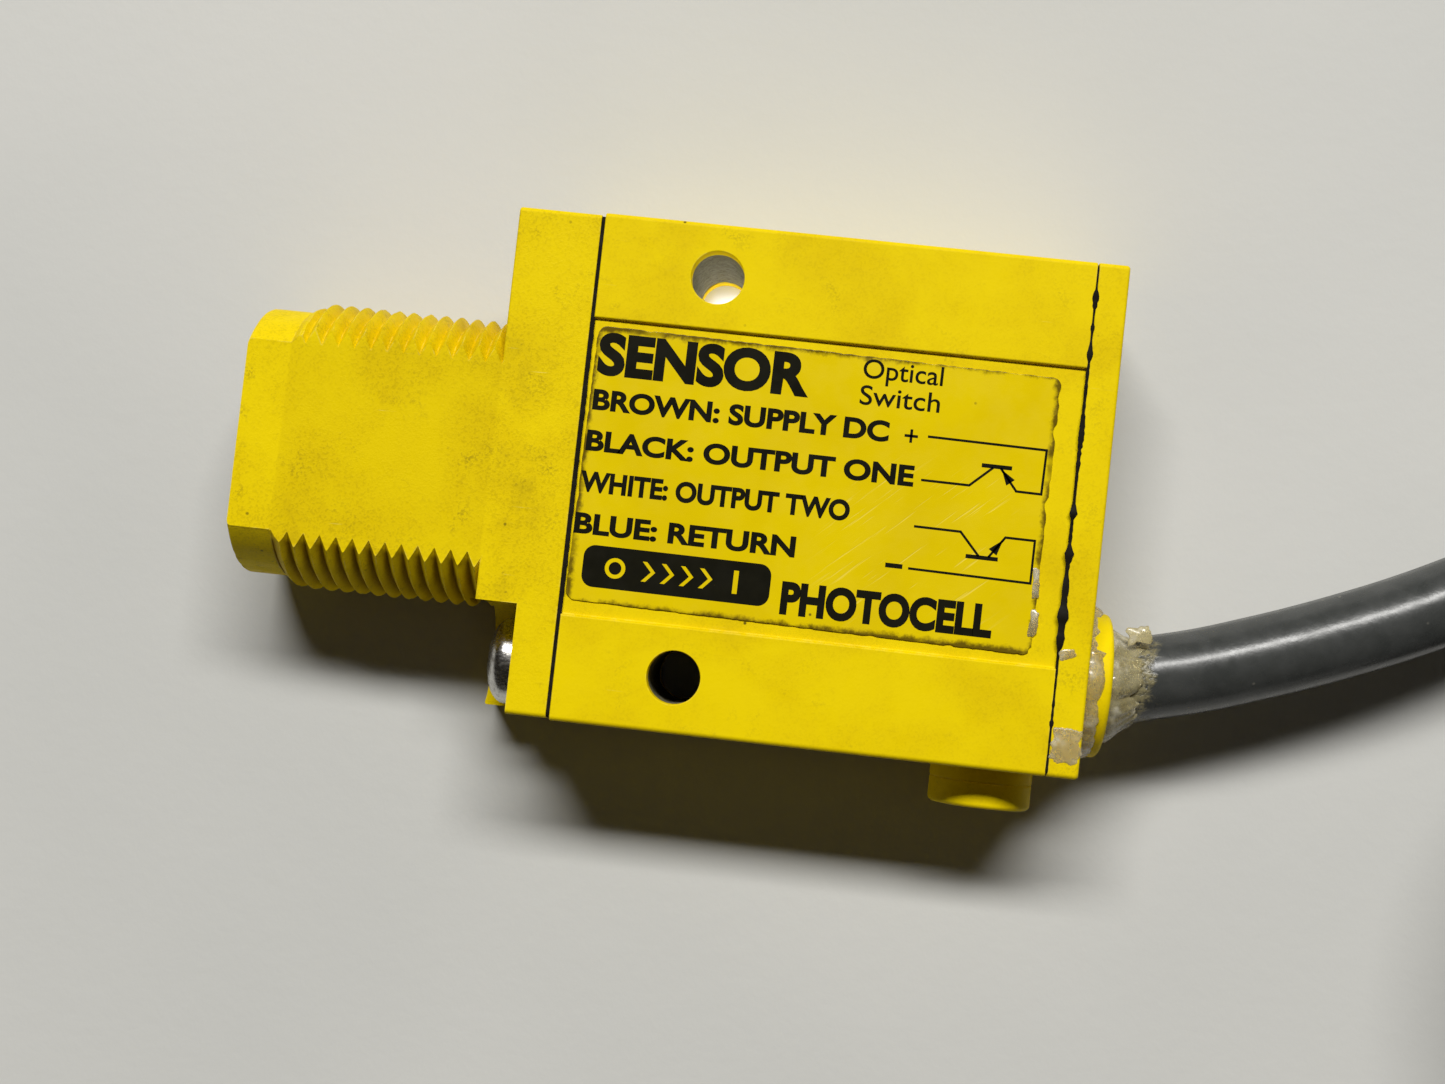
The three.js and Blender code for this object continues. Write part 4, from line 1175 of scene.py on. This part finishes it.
def wiring_marks():
    """The two output transistors, drawn as in any circuit diagram."""
    line = 0.14
    return [
        stroke([(20.56, 19.32), (27.64, 19.28), (27.6, 16.64), (26.11, 16.65), (25.06, 17.92)], line),
        bar_mark((23.92, 25.72), (17.86, 18.1)),
        stroke([(24.61, 17.9), (23.31, 16.7), (20.44, 16.7)], line),
        triangle((25.13, 17.84), (25.72, 17.12), 0.3),
        stroke([(20.33, 13.91), (23.11, 13.9), (24.33, 12.56)], line),
        bar_mark((23.56, 25.47), (12.38, 12.62)),
        stroke([(24.89, 12.56), (25.78, 13.85), (27.53, 13.85), (27.53, 11.31), (20.26, 11.38)], line),
        triangle((25.66, 13.68), (25.12, 12.9), 0.3),
        bar_mark((18.89, 19.91), (11.3, 11.57)),
        bar_mark((19.17, 19.97), (19.16, 19.32)),
        bar_mark((19.49, 19.65), (18.84, 19.64)),
    ]


def badge():
    """A plain black plate with a pictogram cut out of it: a lamp, rays and a target."""
    u, v = (0.94, 12.24), (8.13, 10.64)
    plate = extrude("z", rounded_outline(u, v, 0.7, 8), -INK_HEIGHT / 2, INK_HEIGHT / 2)
    middle = (v[0] + v[1]) / 2
    deep = INK_HEIGHT * 2
    ring = ((-deep, 0.38), (-deep, 0.62), (deep, 0.62), (deep, 0.38))
    tools = [lathe("z", ring, 2.9, middle, 40, closed=True)]
    for k in range(4):
        x = 4.5 + 1.15 * k
        chevron = [(x, middle + 0.6), (x + 0.28, middle + 0.6), (x + 0.83, middle), (x + 0.28, middle - 0.6)]
        chevron += [(x, middle - 0.6), (x + 0.55, middle)]
        tools.append(extrude("z", chevron, -deep, deep))
    target = [(10.0, middle - 0.7), (10.3, middle - 0.7), (10.3, middle + 0.7), (10.0, middle + 0.7)]
    tools.append(extrude("z", target, -deep, deep))
    return carve(plate, tools)


def label_print(material):
    """Generic words and wiring symbols on the label."""
    bold, light = 0.038, 0.006
    parts = [
        printed("SENSOR", (0.39, 13.19), 21.0, 2.42, 0.046),
        printed("Optical", (16.3, 21.08), 22.42, 1.13, light),
        printed("Switch", (16.27, 21.06), 20.81, 1.15, light),
        printed("BROWN: SUPPLY DC", (0.39, 18.24), 18.78, 1.19, bold),
        printed("BLACK: OUTPUT ONE", (0.28, 20.0), 16.3, 1.19, bold),
        printed("WHITE: OUTPUT TWO", (0.2, 16.44), 13.82, 1.19, bold),
        printed("BLUE: RETURN", (0.15, 13.47), 11.3, 1.19, bold),
        printed("PHOTOCELL", (12.94, 25.56), 7.92, 1.86, 0.048),
        badge(),
        *wiring_marks(),
    ]
    bm = merged(parts)
    middle = Vector((*LABEL_CENTRE, 0))
    turn = Matrix.Translation(middle) @ Matrix.Rotation(PRINT_TILT, 4, "Z") @ Matrix.Translation(-middle)
    height = LABEL_FLOOR + LABEL_THICKNESS + INK_HEIGHT / 2 + 0.002
    moved(bm, Matrix.Translation((0, 0, height)) @ turn)
    object_from("label_print", bm, material, sharp=40, weighted=False)


# ---- rear end ----


def window_tool(inset, start, end, radius=0.6):
    y = (WINDOW_Y[0] + inset, WINDOW_Y[1] - inset)
    z = (WINDOW_Z[0] + inset, WINDOW_Z[1] - inset)
    return slab("x", y, z, radius, start, end)


def rear_cover(material):
    plate = slab("x", (0, HEIGHT), (0, THICK), EDGE, COVER_FRONT - SQUEEZE, COVER_REAR, 0.09, 0.22)
    pry = slab("x", (19, 21.4), (WINDOW_Z[1] - 0.1, WINDOW_Z[1] + 0.5), 0.1, COVER_REAR - 0.6, COVER_REAR + 1)
    tools = [
        window_tool(0, COVER_REAR - WINDOW_REBATE, COVER_REAR + 1),
        window_tool(WINDOW_LEDGE, COVER_FRONT - 1, COVER_REAR),
        plug("x", COVER_FRONT - 1, COVER_REAR + 1, GLAND_HOLE_RADIUS, CABLE_Y, MID, 64),
        pry,
    ]
    cover = carve(plate, tools)
    object_from("rear_end_cover", cover, material, replaces=["rear_cover"], sharp=28)


def control_window(material):
    low, high = span("control_window")
    radius = 0.5
    bm = slab("x", (low.y, high.y), (low.z, high.z), radius, low.x, high.x, 0.05, 0.16, 6)
    object_from("clear_window", bm, material, "control_cover", ["control_window"])


def cable_gland(material):
    front, rear = COVER_REAR + 0.02, GLAND_HIGH.x
    bore_radius, shank, rounding = 2.75, 3.38, 0.35
    profile = [(GLAND_LOW.x, bore_radius), (GLAND_LOW.x, shank), (front, shank)]
    profile += [(front, GLAND_RADIUS - 0.1), (front + 0.1, GLAND_RADIUS)]
    profile += arc(rear - rounding, GLAND_RADIUS - rounding, rounding, 90, 0, 5)
    profile += [(rear, bore_radius + 0.2), (rear - 0.1, bore_radius)]
    bm = lathe("x", profile, CABLE_Y, MID, 80, closed=True)
    object_from("cable_gland_turned", bm, material, replaces=["cable_gland"], sharp=30)


def adhesive_collar(name, profile, swell, ragged, bare, material, replaces=()):
    """Glue turned round the cable's axis, then swollen, torn and bent with the cable.

    Bare names the angles that have less of it.
    """
    bm = lathe("x", profile, CABLE_Y, MID, 160, closed=True)
    inner = min(radius for _, radius in profile)
    first, last = profile[0][0], max(along for along, _ in profile)
    for vertex in bm.verts:
        out = Vector((0, vertex.co.y - CABLE_Y, vertex.co.z - MID))
        angle = math.degrees(math.atan2(out.z, out.y)) % 360
        lumps = noise.noise(vertex.co * 0.55) + 0.6 * noise.noise(vertex.co * 1.5)
        lumps += 0.1 * noise.noise(vertex.co * 4.1)
        if out.length > inner + 0.02:
            grow = swell * (0.35 + lumps)
            if bare[0] < angle < bare[1]:
                grow -= swell * 1.2
            vertex.co += out.normalized() * grow
        reach = (vertex.co.x - first) / (last - first)
        vertex.co.x += ragged * reach * noise.noise(Vector((angle / 19, 3.0, 0.0)))
        vertex.co.x += ragged * 0.5 * reach * noise.noise(Vector((angle / 5, 8.0, 0.0)))
        vertex.co.y += 0.1 * max(0.0, vertex.co.x - GLAND_HIGH.x) ** 2
    object_from(name, bm, material, replaces=replaces, sharp=75, weighted=False)


def dried_film(name, centre, size, thickness, turn, material):
    """A thin torn patch of glue lying on a face that looks up."""
    outline = subdivided(rounded_outline((-size[0], size[0]), (-size[1], size[1]), min(size) * 0.5, 5), 0.08)
    rings = []
    for height, inset in ((0.0, 0.0), (thickness * 0.6, 0.02), (thickness, 0.09)):
        ring = []
        for x, y in outline:
            rough = 1 + 0.3 * noise.noise(Vector((x * 1.6 + centre[0], y * 1.6, 0)))
            rough += 0.16 * noise.noise(Vector((x * 5 + centre[0], y * 5, 2))) - inset
            ring.append((x * rough, y * rough, height))
        rings.append(ring)
    place = Matrix.Translation(centre) @ Matrix.Rotation(math.radians(turn), 4, "Z")
    object_from(name, moved(skin(rings), place), material, sharp=75, weighted=False)


def adhesive(material):
    """Old glue round the gland, a flake standing off the cable, and smears on the cover and label."""
    disc = GLAND_HIGH.x
    behind_cover = [(COVER_REAR - 0.02, 4.6), (COVER_REAR + 0.3, 4.66), (COVER_REAR + 0.65, 4.62)]
    behind_cover += [(COVER_REAR + 0.95, 4.52), (COVER_REAR + 1.1, 4.42), (COVER_REAR + 1.1, 4.36)]
    behind_cover += [(COVER_REAR - 0.02, 4.36)]
    adhesive_collar("gland_edge_adhesive", behind_cover, 0.26, 0.3, (20, 62), material)
    round_cable = [(disc - 0.05, 3.5), (disc + 0.3, 3.5), (disc + 0.65, 3.25), (disc + 0.95, 3.0)]
    round_cable += [(disc + 1.3, 2.82), (disc + 1.6, 2.72), (disc + 1.8, 2.64), (disc + 1.85, 2.5)]
    round_cable += [(disc - 0.05, 2.5)]
    adhesive_collar("gland_adhesive", round_cable, 0.24, 0.7, (400, 400), material, ["gland_sealant"])
    dried_film("cover_smear", (30.55, 1.95, THICK - 0.01), (0.85, 1.0), 0.05, -5, material)
    dried_film("seam_smear", (30.1, 7.3, THICK - 0.01), (0.5, 0.3), 0.04, 20, material)
    dried_film("adhesive_flake", (34.75, 8.95, MID + 2.35), (0.72, 0.5), 0.12, 15, material)
    floor = LABEL_FLOOR + LABEL_THICKNESS - 0.01
    dried_film("label_residue_upper", (27.85, 11.3, floor), (0.2, 0.85), 0.06, 4, material)
    dried_film("label_residue_lower", (27.95, 8.9, floor - 0.03), (0.26, 0.75), 0.08, -3, material)


# ---- controls behind the window ----


def adjuster(name, node, y, radius, slot_width, body, material):
    """A slotted round adjuster with a broken edge."""
    low, high = span(node)
    profile = [(low.x, 0.0), (low.x, radius - 0.1), (low.x + 0.1, radius), (high.x - 0.2, radius)]
    profile += [(high.x - 0.06, radius - 0.06), (high.x, radius - 0.2), (high.x, 0.0)]
    across = (y - radius - 1, y + radius + 1)
    wide = (MID - slot_width / 2, MID + slot_width / 2)
    slot_tool = slab("x", across, wide, 0.05, high.x - 0.7, high.x + 1)
    bm = carve(lathe("x", profile, y, MID, 64), [slot_tool])
    object_from(name, bm, material, body, [node])


def indicator(material):
    low, high = span("indicator_led")
    profile = [(low.x, 0.0), (low.x, 1.1), (low.x + 0.8, 1.1), (low.x + 0.82, 0.92), (high.x - 0.9, 0.9)]
    profile += arc(high.x - 0.9, 0.0, 0.9, 90, 0, 8)[1:]
    lamp = lathe("x", profile, INDICATOR_Y, MID, 48)
    object_from("indicator_lamp", lamp, material, replaces=["indicator_led"])


def dress_cad_nodes(looks):
    """Inner pieces keep their CAD shape, with their edges broken and a material of their own."""
    for node, material in looks.items():
        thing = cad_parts[node]
        thing.data.materials.clear()
        thing.data.materials.append(material)
        bevel = thing.modifiers.new("broken_edges", "BEVEL")
        bevel.width = 0.06 * MM
        bevel.segments = 2
        bevel.limit_method = "ANGLE"
        bevel.angle_limit = math.radians(40)


# ---- cable ----

CABLE_ROUTE = [
    (27.0, CABLE_Y, MID),
    (31.0, CABLE_Y, MID),
    (33.0, 5.65, MID),
    (35.9, 6.4, 6.1),
    (39.1, 7.25, 6.05),
    (42.1, 8.25, 6.0),
    (45.0, 9.3, 6.0),
    (48.0, 10.5, 6.0),
    (50.9, 11.75, 5.95),
    (54.0, 13.25, 5.8),
    (58.2, 15.45, 5.4),
    (62.6, 17.9, 4.9),
    (68.1, 21.1, 3.7),
    (73.5, 24.3, 3.15),
]
TAIL_ROUTE = [
    (107.3, -11.9, CABLE_REST_Z),
    (101.1, -15.7, CABLE_REST_Z),
    (93.9, -16.9, CABLE_REST_Z),
    (86.8, -15.4, CABLE_REST_Z),
    (80.8, -11.2, CABLE_REST_Z),
    (76.8, -5.1, CABLE_REST_Z),
    (75.4, 2.1, CABLE_REST_Z),
    (76.8, 9.2, CABLE_REST_Z),
    (80.9, 15.3, CABLE_REST_Z),
    (86.9, 19.4, CABLE_REST_Z),
]
LEAD_ROUTES = {
    "brown": [
        (87.2, 20.5, 3.4),
        (94.6, 20.6, 1.6),
        (101.5, 18.1, LEAD_REST_Z),
        (106.5, 13.4, LEAD_REST_Z),
        (109.1, 7.1, LEAD_REST_Z),
        (108.9, 0.5, LEAD_REST_Z),
        (105.9, -5.5, LEAD_REST_Z),
    ],
    "black": [
        (87.2, 20.5, 1.9),
        (94.9, 19.2, LEAD_REST_Z),
        (101.3, 15.7, LEAD_REST_Z),
        (105.5, 10.2, LEAD_REST_Z),
        (106.9, 3.6, LEAD_REST_Z),
        (105.1, -2.9, LEAD_REST_Z),
        (100.6, -7.5, LEAD_REST_Z),
    ],
    "white": [
        (88.1, 19.3, 3.4),
        (94.6, 17.7, 1.6),
        (100.1, 13.9, LEAD_REST_Z),
        (103.6, 8.0, LEAD_REST_Z),
        (103.7, 1.4, LEAD_REST_Z),
        (100.4, -4.4, LEAD_REST_Z),
        (94.9, -7.0, LEAD_REST_Z),
    ],
    "blue": [
        (88.1, 19.3, 1.9),
        (94.1, 15.6, LEAD_REST_Z),
        (98.9, 10.9, LEAD_REST_Z),
        (100.9, 4.5, LEAD_REST_Z),
        (99.5, -1.8, LEAD_REST_Z),
        (94.1, -5.0, LEAD_REST_Z),
        (87.8, -4.2, LEAD_REST_Z),
    ],
}


def coil_moves():
    """Each turn's radius and height, the share of a turn where the cable leaves it, and the move's share.

    The outer column climbs and the inner one comes down again. Each kind of move has its own stretch of the
    circle, later ones first, so that a turn has always left its place before the next one takes it.
    """
    outer, inner = COIL_COLUMNS
    climb, cross, drop, leave = (0.77, 0.15), (0.62, 0.15), (0.47, 0.15), (0.13, 0.34)
    moves = [((outer, height), climb) for height in COIL_LAYERS[:-1]]
    moves.append(((outer, COIL_LAYERS[-1]), cross))
    moves += [((inner, height), drop) for height in reversed(COIL_LAYERS[1:])]
    moves.append(((inner, COIL_LAYERS[0]), leave))
    return moves


def coil_points():
    """The turns, clockwise, from where the cable arrives to where its tail leaves the inner column."""
    moves = coil_moves()
    places = [place for place, _ in moves] + [(TAIL_RADIUS, CABLE_REST_Z)]
    points = []
    for turn, (_, (start, stretch)) in enumerate(moves):
        steps = COIL_STEPS if turn < len(moves) - 1 else LAST_STEPS
        for k in range(steps):
            share = k / COIL_STEPS
            blend = 0.5 - 0.5 * math.cos(math.pi * min(1.0, max(0.0, (share - start) / stretch)))
            radius = places[turn][0] + (places[turn + 1][0] - places[turn][0]) * blend
            height = places[turn][1] + (places[turn + 1][1] - places[turn][1]) * blend
            angle = COIL_START - 2 * math.pi * share
            x = COIL_CENTRE[0] + radius * math.cos(angle)
            points.append((x, COIL_CENTRE[1] + radius * math.sin(angle), height))
    return points


def round_cord(name, points, radius, material, replaces, resolution):
    """One smooth open curve through points, as a round cord."""
    curve = bpy.data.curves.new(name, "CURVE")
    curve.dimensions = "3D"
    curve.bevel_depth = radius * MM
    curve.bevel_resolution = resolution
    curve.resolution_u = 8
    curve.use_fill_caps = True
    spline = curve.splines.new("BEZIER")
    spline.bezier_points.add(len(points) - 1)
    for place, point in zip(spline.bezier_points, points):
        place.co = TO_ROW @ Vector(point)
        place.handle_left_type = "AUTO"
        place.handle_right_type = "AUTO"
    curve.materials.append(material)
    thing = bpy.data.objects.new(name, curve)
    bpy.context.scene.collection.objects.link(thing)
    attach(thing, BODY)
    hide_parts(*replaces)
    return thing


def coil_tie(material):
    """A nylon band round the bundle with its locking head on top."""
    half_width, gap, thick = 1.6, 0.12, 0.42
    outer, inner = COIL_COLUMNS
    low = COIL_LAYERS[0] - CABLE_RADIUS + 0.06
    top = COIL_LAYERS[-1] + CABLE_RADIUS + gap
    near, far = inner - CABLE_RADIUS - gap, outer + CABLE_RADIUS + gap
    path = rounded_outline((near, far), (low, top), CABLE_RADIUS, 8)
    outside = rounded_outline(
        (near - thick, far + thick),
        (low - thick, top + thick),
        CABLE_RADIUS + thick,
        8,
    )
    band = []
    for (r, z), (r_out, z_out) in zip(path, outside):
        r_mid, z_mid = r + (r_out - r) * 0.7, z + (z_out - z) * 0.7
        ring = [(r, -half_width, z), (r_mid, -half_width, z_mid), (r_out, 0.12 - half_width, z_out)]
        ring += [(r_out, half_width - 0.12, z_out), (r_mid, half_width, z_mid), (r, half_width, z)]
        band.append(ring)
    head = slab("z", (inner - 0.8, inner + 3.7), (-2.3, 2.3), 0.5, top - 0.1, top + 0.62, 0.02, 0.2)
    tongue = slab("z", (inner + 3.5, outer + 2.0), (-1.5, 1.5), 0.4, top + 0.38, top + 0.66, 0.05, 0.1)
    whole = merged([skin(band, closed=True), head, tongue])
    turn = Matrix.Translation((*COIL_CENTRE, 0)) @ Matrix.Rotation(TIE_ANGLE, 4, "Z")
    return object_from("coil_band", moved(whole, turn), material, replaces=["coil_tie"])


def tinned_end(colour, points, material):
    """The stripped and tinned end of a conductor: a twisted bundle of strands."""
    end, before = Vector(points[-1]), Vector(points[-2])
    along = (end - before).normalized()
    side = Vector((-along.y, along.x, 0))
    up = along.cross(side)
    length, strands = 5.0, 6
    rings = []
    for k in range(15):
        share = k / 14
        centre = end + along * (share * length - 0.4)
        centre.z -= 0.2 * share
        ring = []
        for n in range(strands * 4):
            angle = 2 * math.pi * n / (strands * 4)
            radius = 0.36 + 0.045 * math.cos(strands * (angle + share * 3.2))
            if k == 14:
                radius *= 0.7
            ring.append(centre + side * radius * math.cos(angle) + up * radius * math.sin(angle))
        rings.append(ring)
    return object_from(f"tinned_end_{colour}", skin(rings), material, sharp=60, weighted=False)


def make_cords(looks):
    """The cable in one piece, its tie, and the four loose conductors."""
    route = [*CABLE_ROUTE, *coil_points(), *TAIL_ROUTE]
    stood_for = ["cable", "cable_coil", "cable_tail"]
    cable = round_cord("sensor_cable", route, CABLE_RADIUS, looks["sheath"], stood_for, 7)
    tie = coil_tie(looks["black"])
    jacket_end, before = Vector(TAIL_ROUTE[-1]), Vector(TAIL_ROUTE[-2])
    inside = (before - jacket_end).normalized() * 3.0
    for colour, points in LEAD_ROUTES.items():
        start = Vector(points[0])
        begun = [tuple(start + inside + Vector((0, 0, (CABLE_REST_Z - start.z) * 0.3))), *points]
        name = f"conductor_{colour}"
        node = f"lead_{colour}"
        lead = round_cord(name, begun, LEAD_RADIUS, looks[colour], [node], 4)
        end = tinned_end(colour, points, looks["tin"])


# ---- assembly ----

LOOKS = {
    "sheath": sheath_look(),
    "black": plain_plastic("black_plastic", (0.014, 0.014, 0.015), IOR=1.5),
    "brown": plain_plastic("brown_pvc", (0.10, 0.038, 0.014), IOR=1.5),
    "white": plain_plastic("white_pvc", (0.78, 0.77, 0.71), IOR=1.5, mottling=0.9),
    "blue": plain_plastic("blue_pvc", (0.02, 0.085, 0.37), IOR=1.5),
    "tin": metal_look("tinned_copper", (0.70, 0.70, 0.70), (0.42, 0.36, 0.30), (0.25, 0.5)),
}
make_camera()
make_cords(LOOKS)

BLACK = LOOKS["black"]
RUBBER = plain_plastic(
    "black_rubber", (0.010, 0.008, 0.004), (0.6, 0.85), grain=0.01, Specular_IOR_Level=0.12
)
RED = clear_look("deep_red_acrylic", (0.38, 0.004, 0.008), 0.04)
CLEAR = clear_look("clear_acrylic", (0.93, 0.95, 0.95), 0.03)
SMOKED = clear_look("smoked_epoxy", (0.05, 0.055, 0.07), 0.08)
STEEL = metal_look("screw_steel", (0.60, 0.59, 0.56), (0.16, 0.13, 0.10), (0.2, 0.42), (0.4, 1.0, 1.0))
BRASS = metal_look("adjuster_brass", (0.72, 0.50, 0.18), (0.30, 0.18, 0.07), (0.2, 0.42), (1.0, 0.3, 1.0))
WHITE = plain_plastic("white_plastic", (0.80, 0.79, 0.74), IOR=1.5, mottling=0.9)
BLUE = plain_plastic("trimmer_blue", (0.02, 0.10, 0.42), IOR=1.5)
TANTALUM = plain_plastic("capacitor_orange", (0.60, 0.25, 0.03), IOR=1.5)
BOARD = board_look()
GLUE = glue_look()
BLOCK_YELLOW = yellow_plastic("yellow_block", 0.02, 0.62, 0.6, grooves=True)
BODY_YELLOW = yellow_plastic("yellow_body", 0.008, 0.28, 0.85)
COVER_YELLOW = yellow_plastic("yellow_cover", 0.012, 0.4, 0.5)

lens_block(BLOCK_YELLOW)
lens_block_screws(STEEL)
front_lens(RED)
gaskets(RUBBER)
housing(BODY_YELLOW)
mounting_sleeves(liner_look())
label_sheet(label_look())
label_print(ink_look())
rear_cover(COVER_YELLOW)
control_window(CLEAR)
cable_gland(COVER_YELLOW)
adhesive(GLUE)
adjuster("gain_adjuster_screw", "gain_screw", GAIN_Y, 1.5, 0.5, "gain_adjuster", BRASS)
adjuster(
    "mode_selector_rotor", "mode_switch_rotor", SWITCH_Y, 1.9, 0.7, "mode_selector", WHITE
)
indicator(RED)

INNER_LOOKS = {
    "lens_seal": RUBBER,
    "optics_holder": BLACK,
    "emitter_diode": CLEAR,
    "receiver_diode": SMOKED,
    "circuit_board": BOARD,
    "control_board": BOARD,
    "controller_chip": BLACK,
    "amplifier_chip": BLACK,
    "source_transistor": BLACK,
    "sink_transistor": BLACK,
    "supply_capacitor": TANTALUM,
    "gain_trimmer": BLUE,
    "mode_switch": BLACK,
    "window_seal": RUBBER,
}
for wire in LEAD_ROUTES:
    INNER_LOOKS[f"inner_lead_{wire}"] = LOOKS[wire]
dress_cad_nodes(INNER_LOOKS)

make_floor(floor_look())
make_lights()
make_hole_lights()
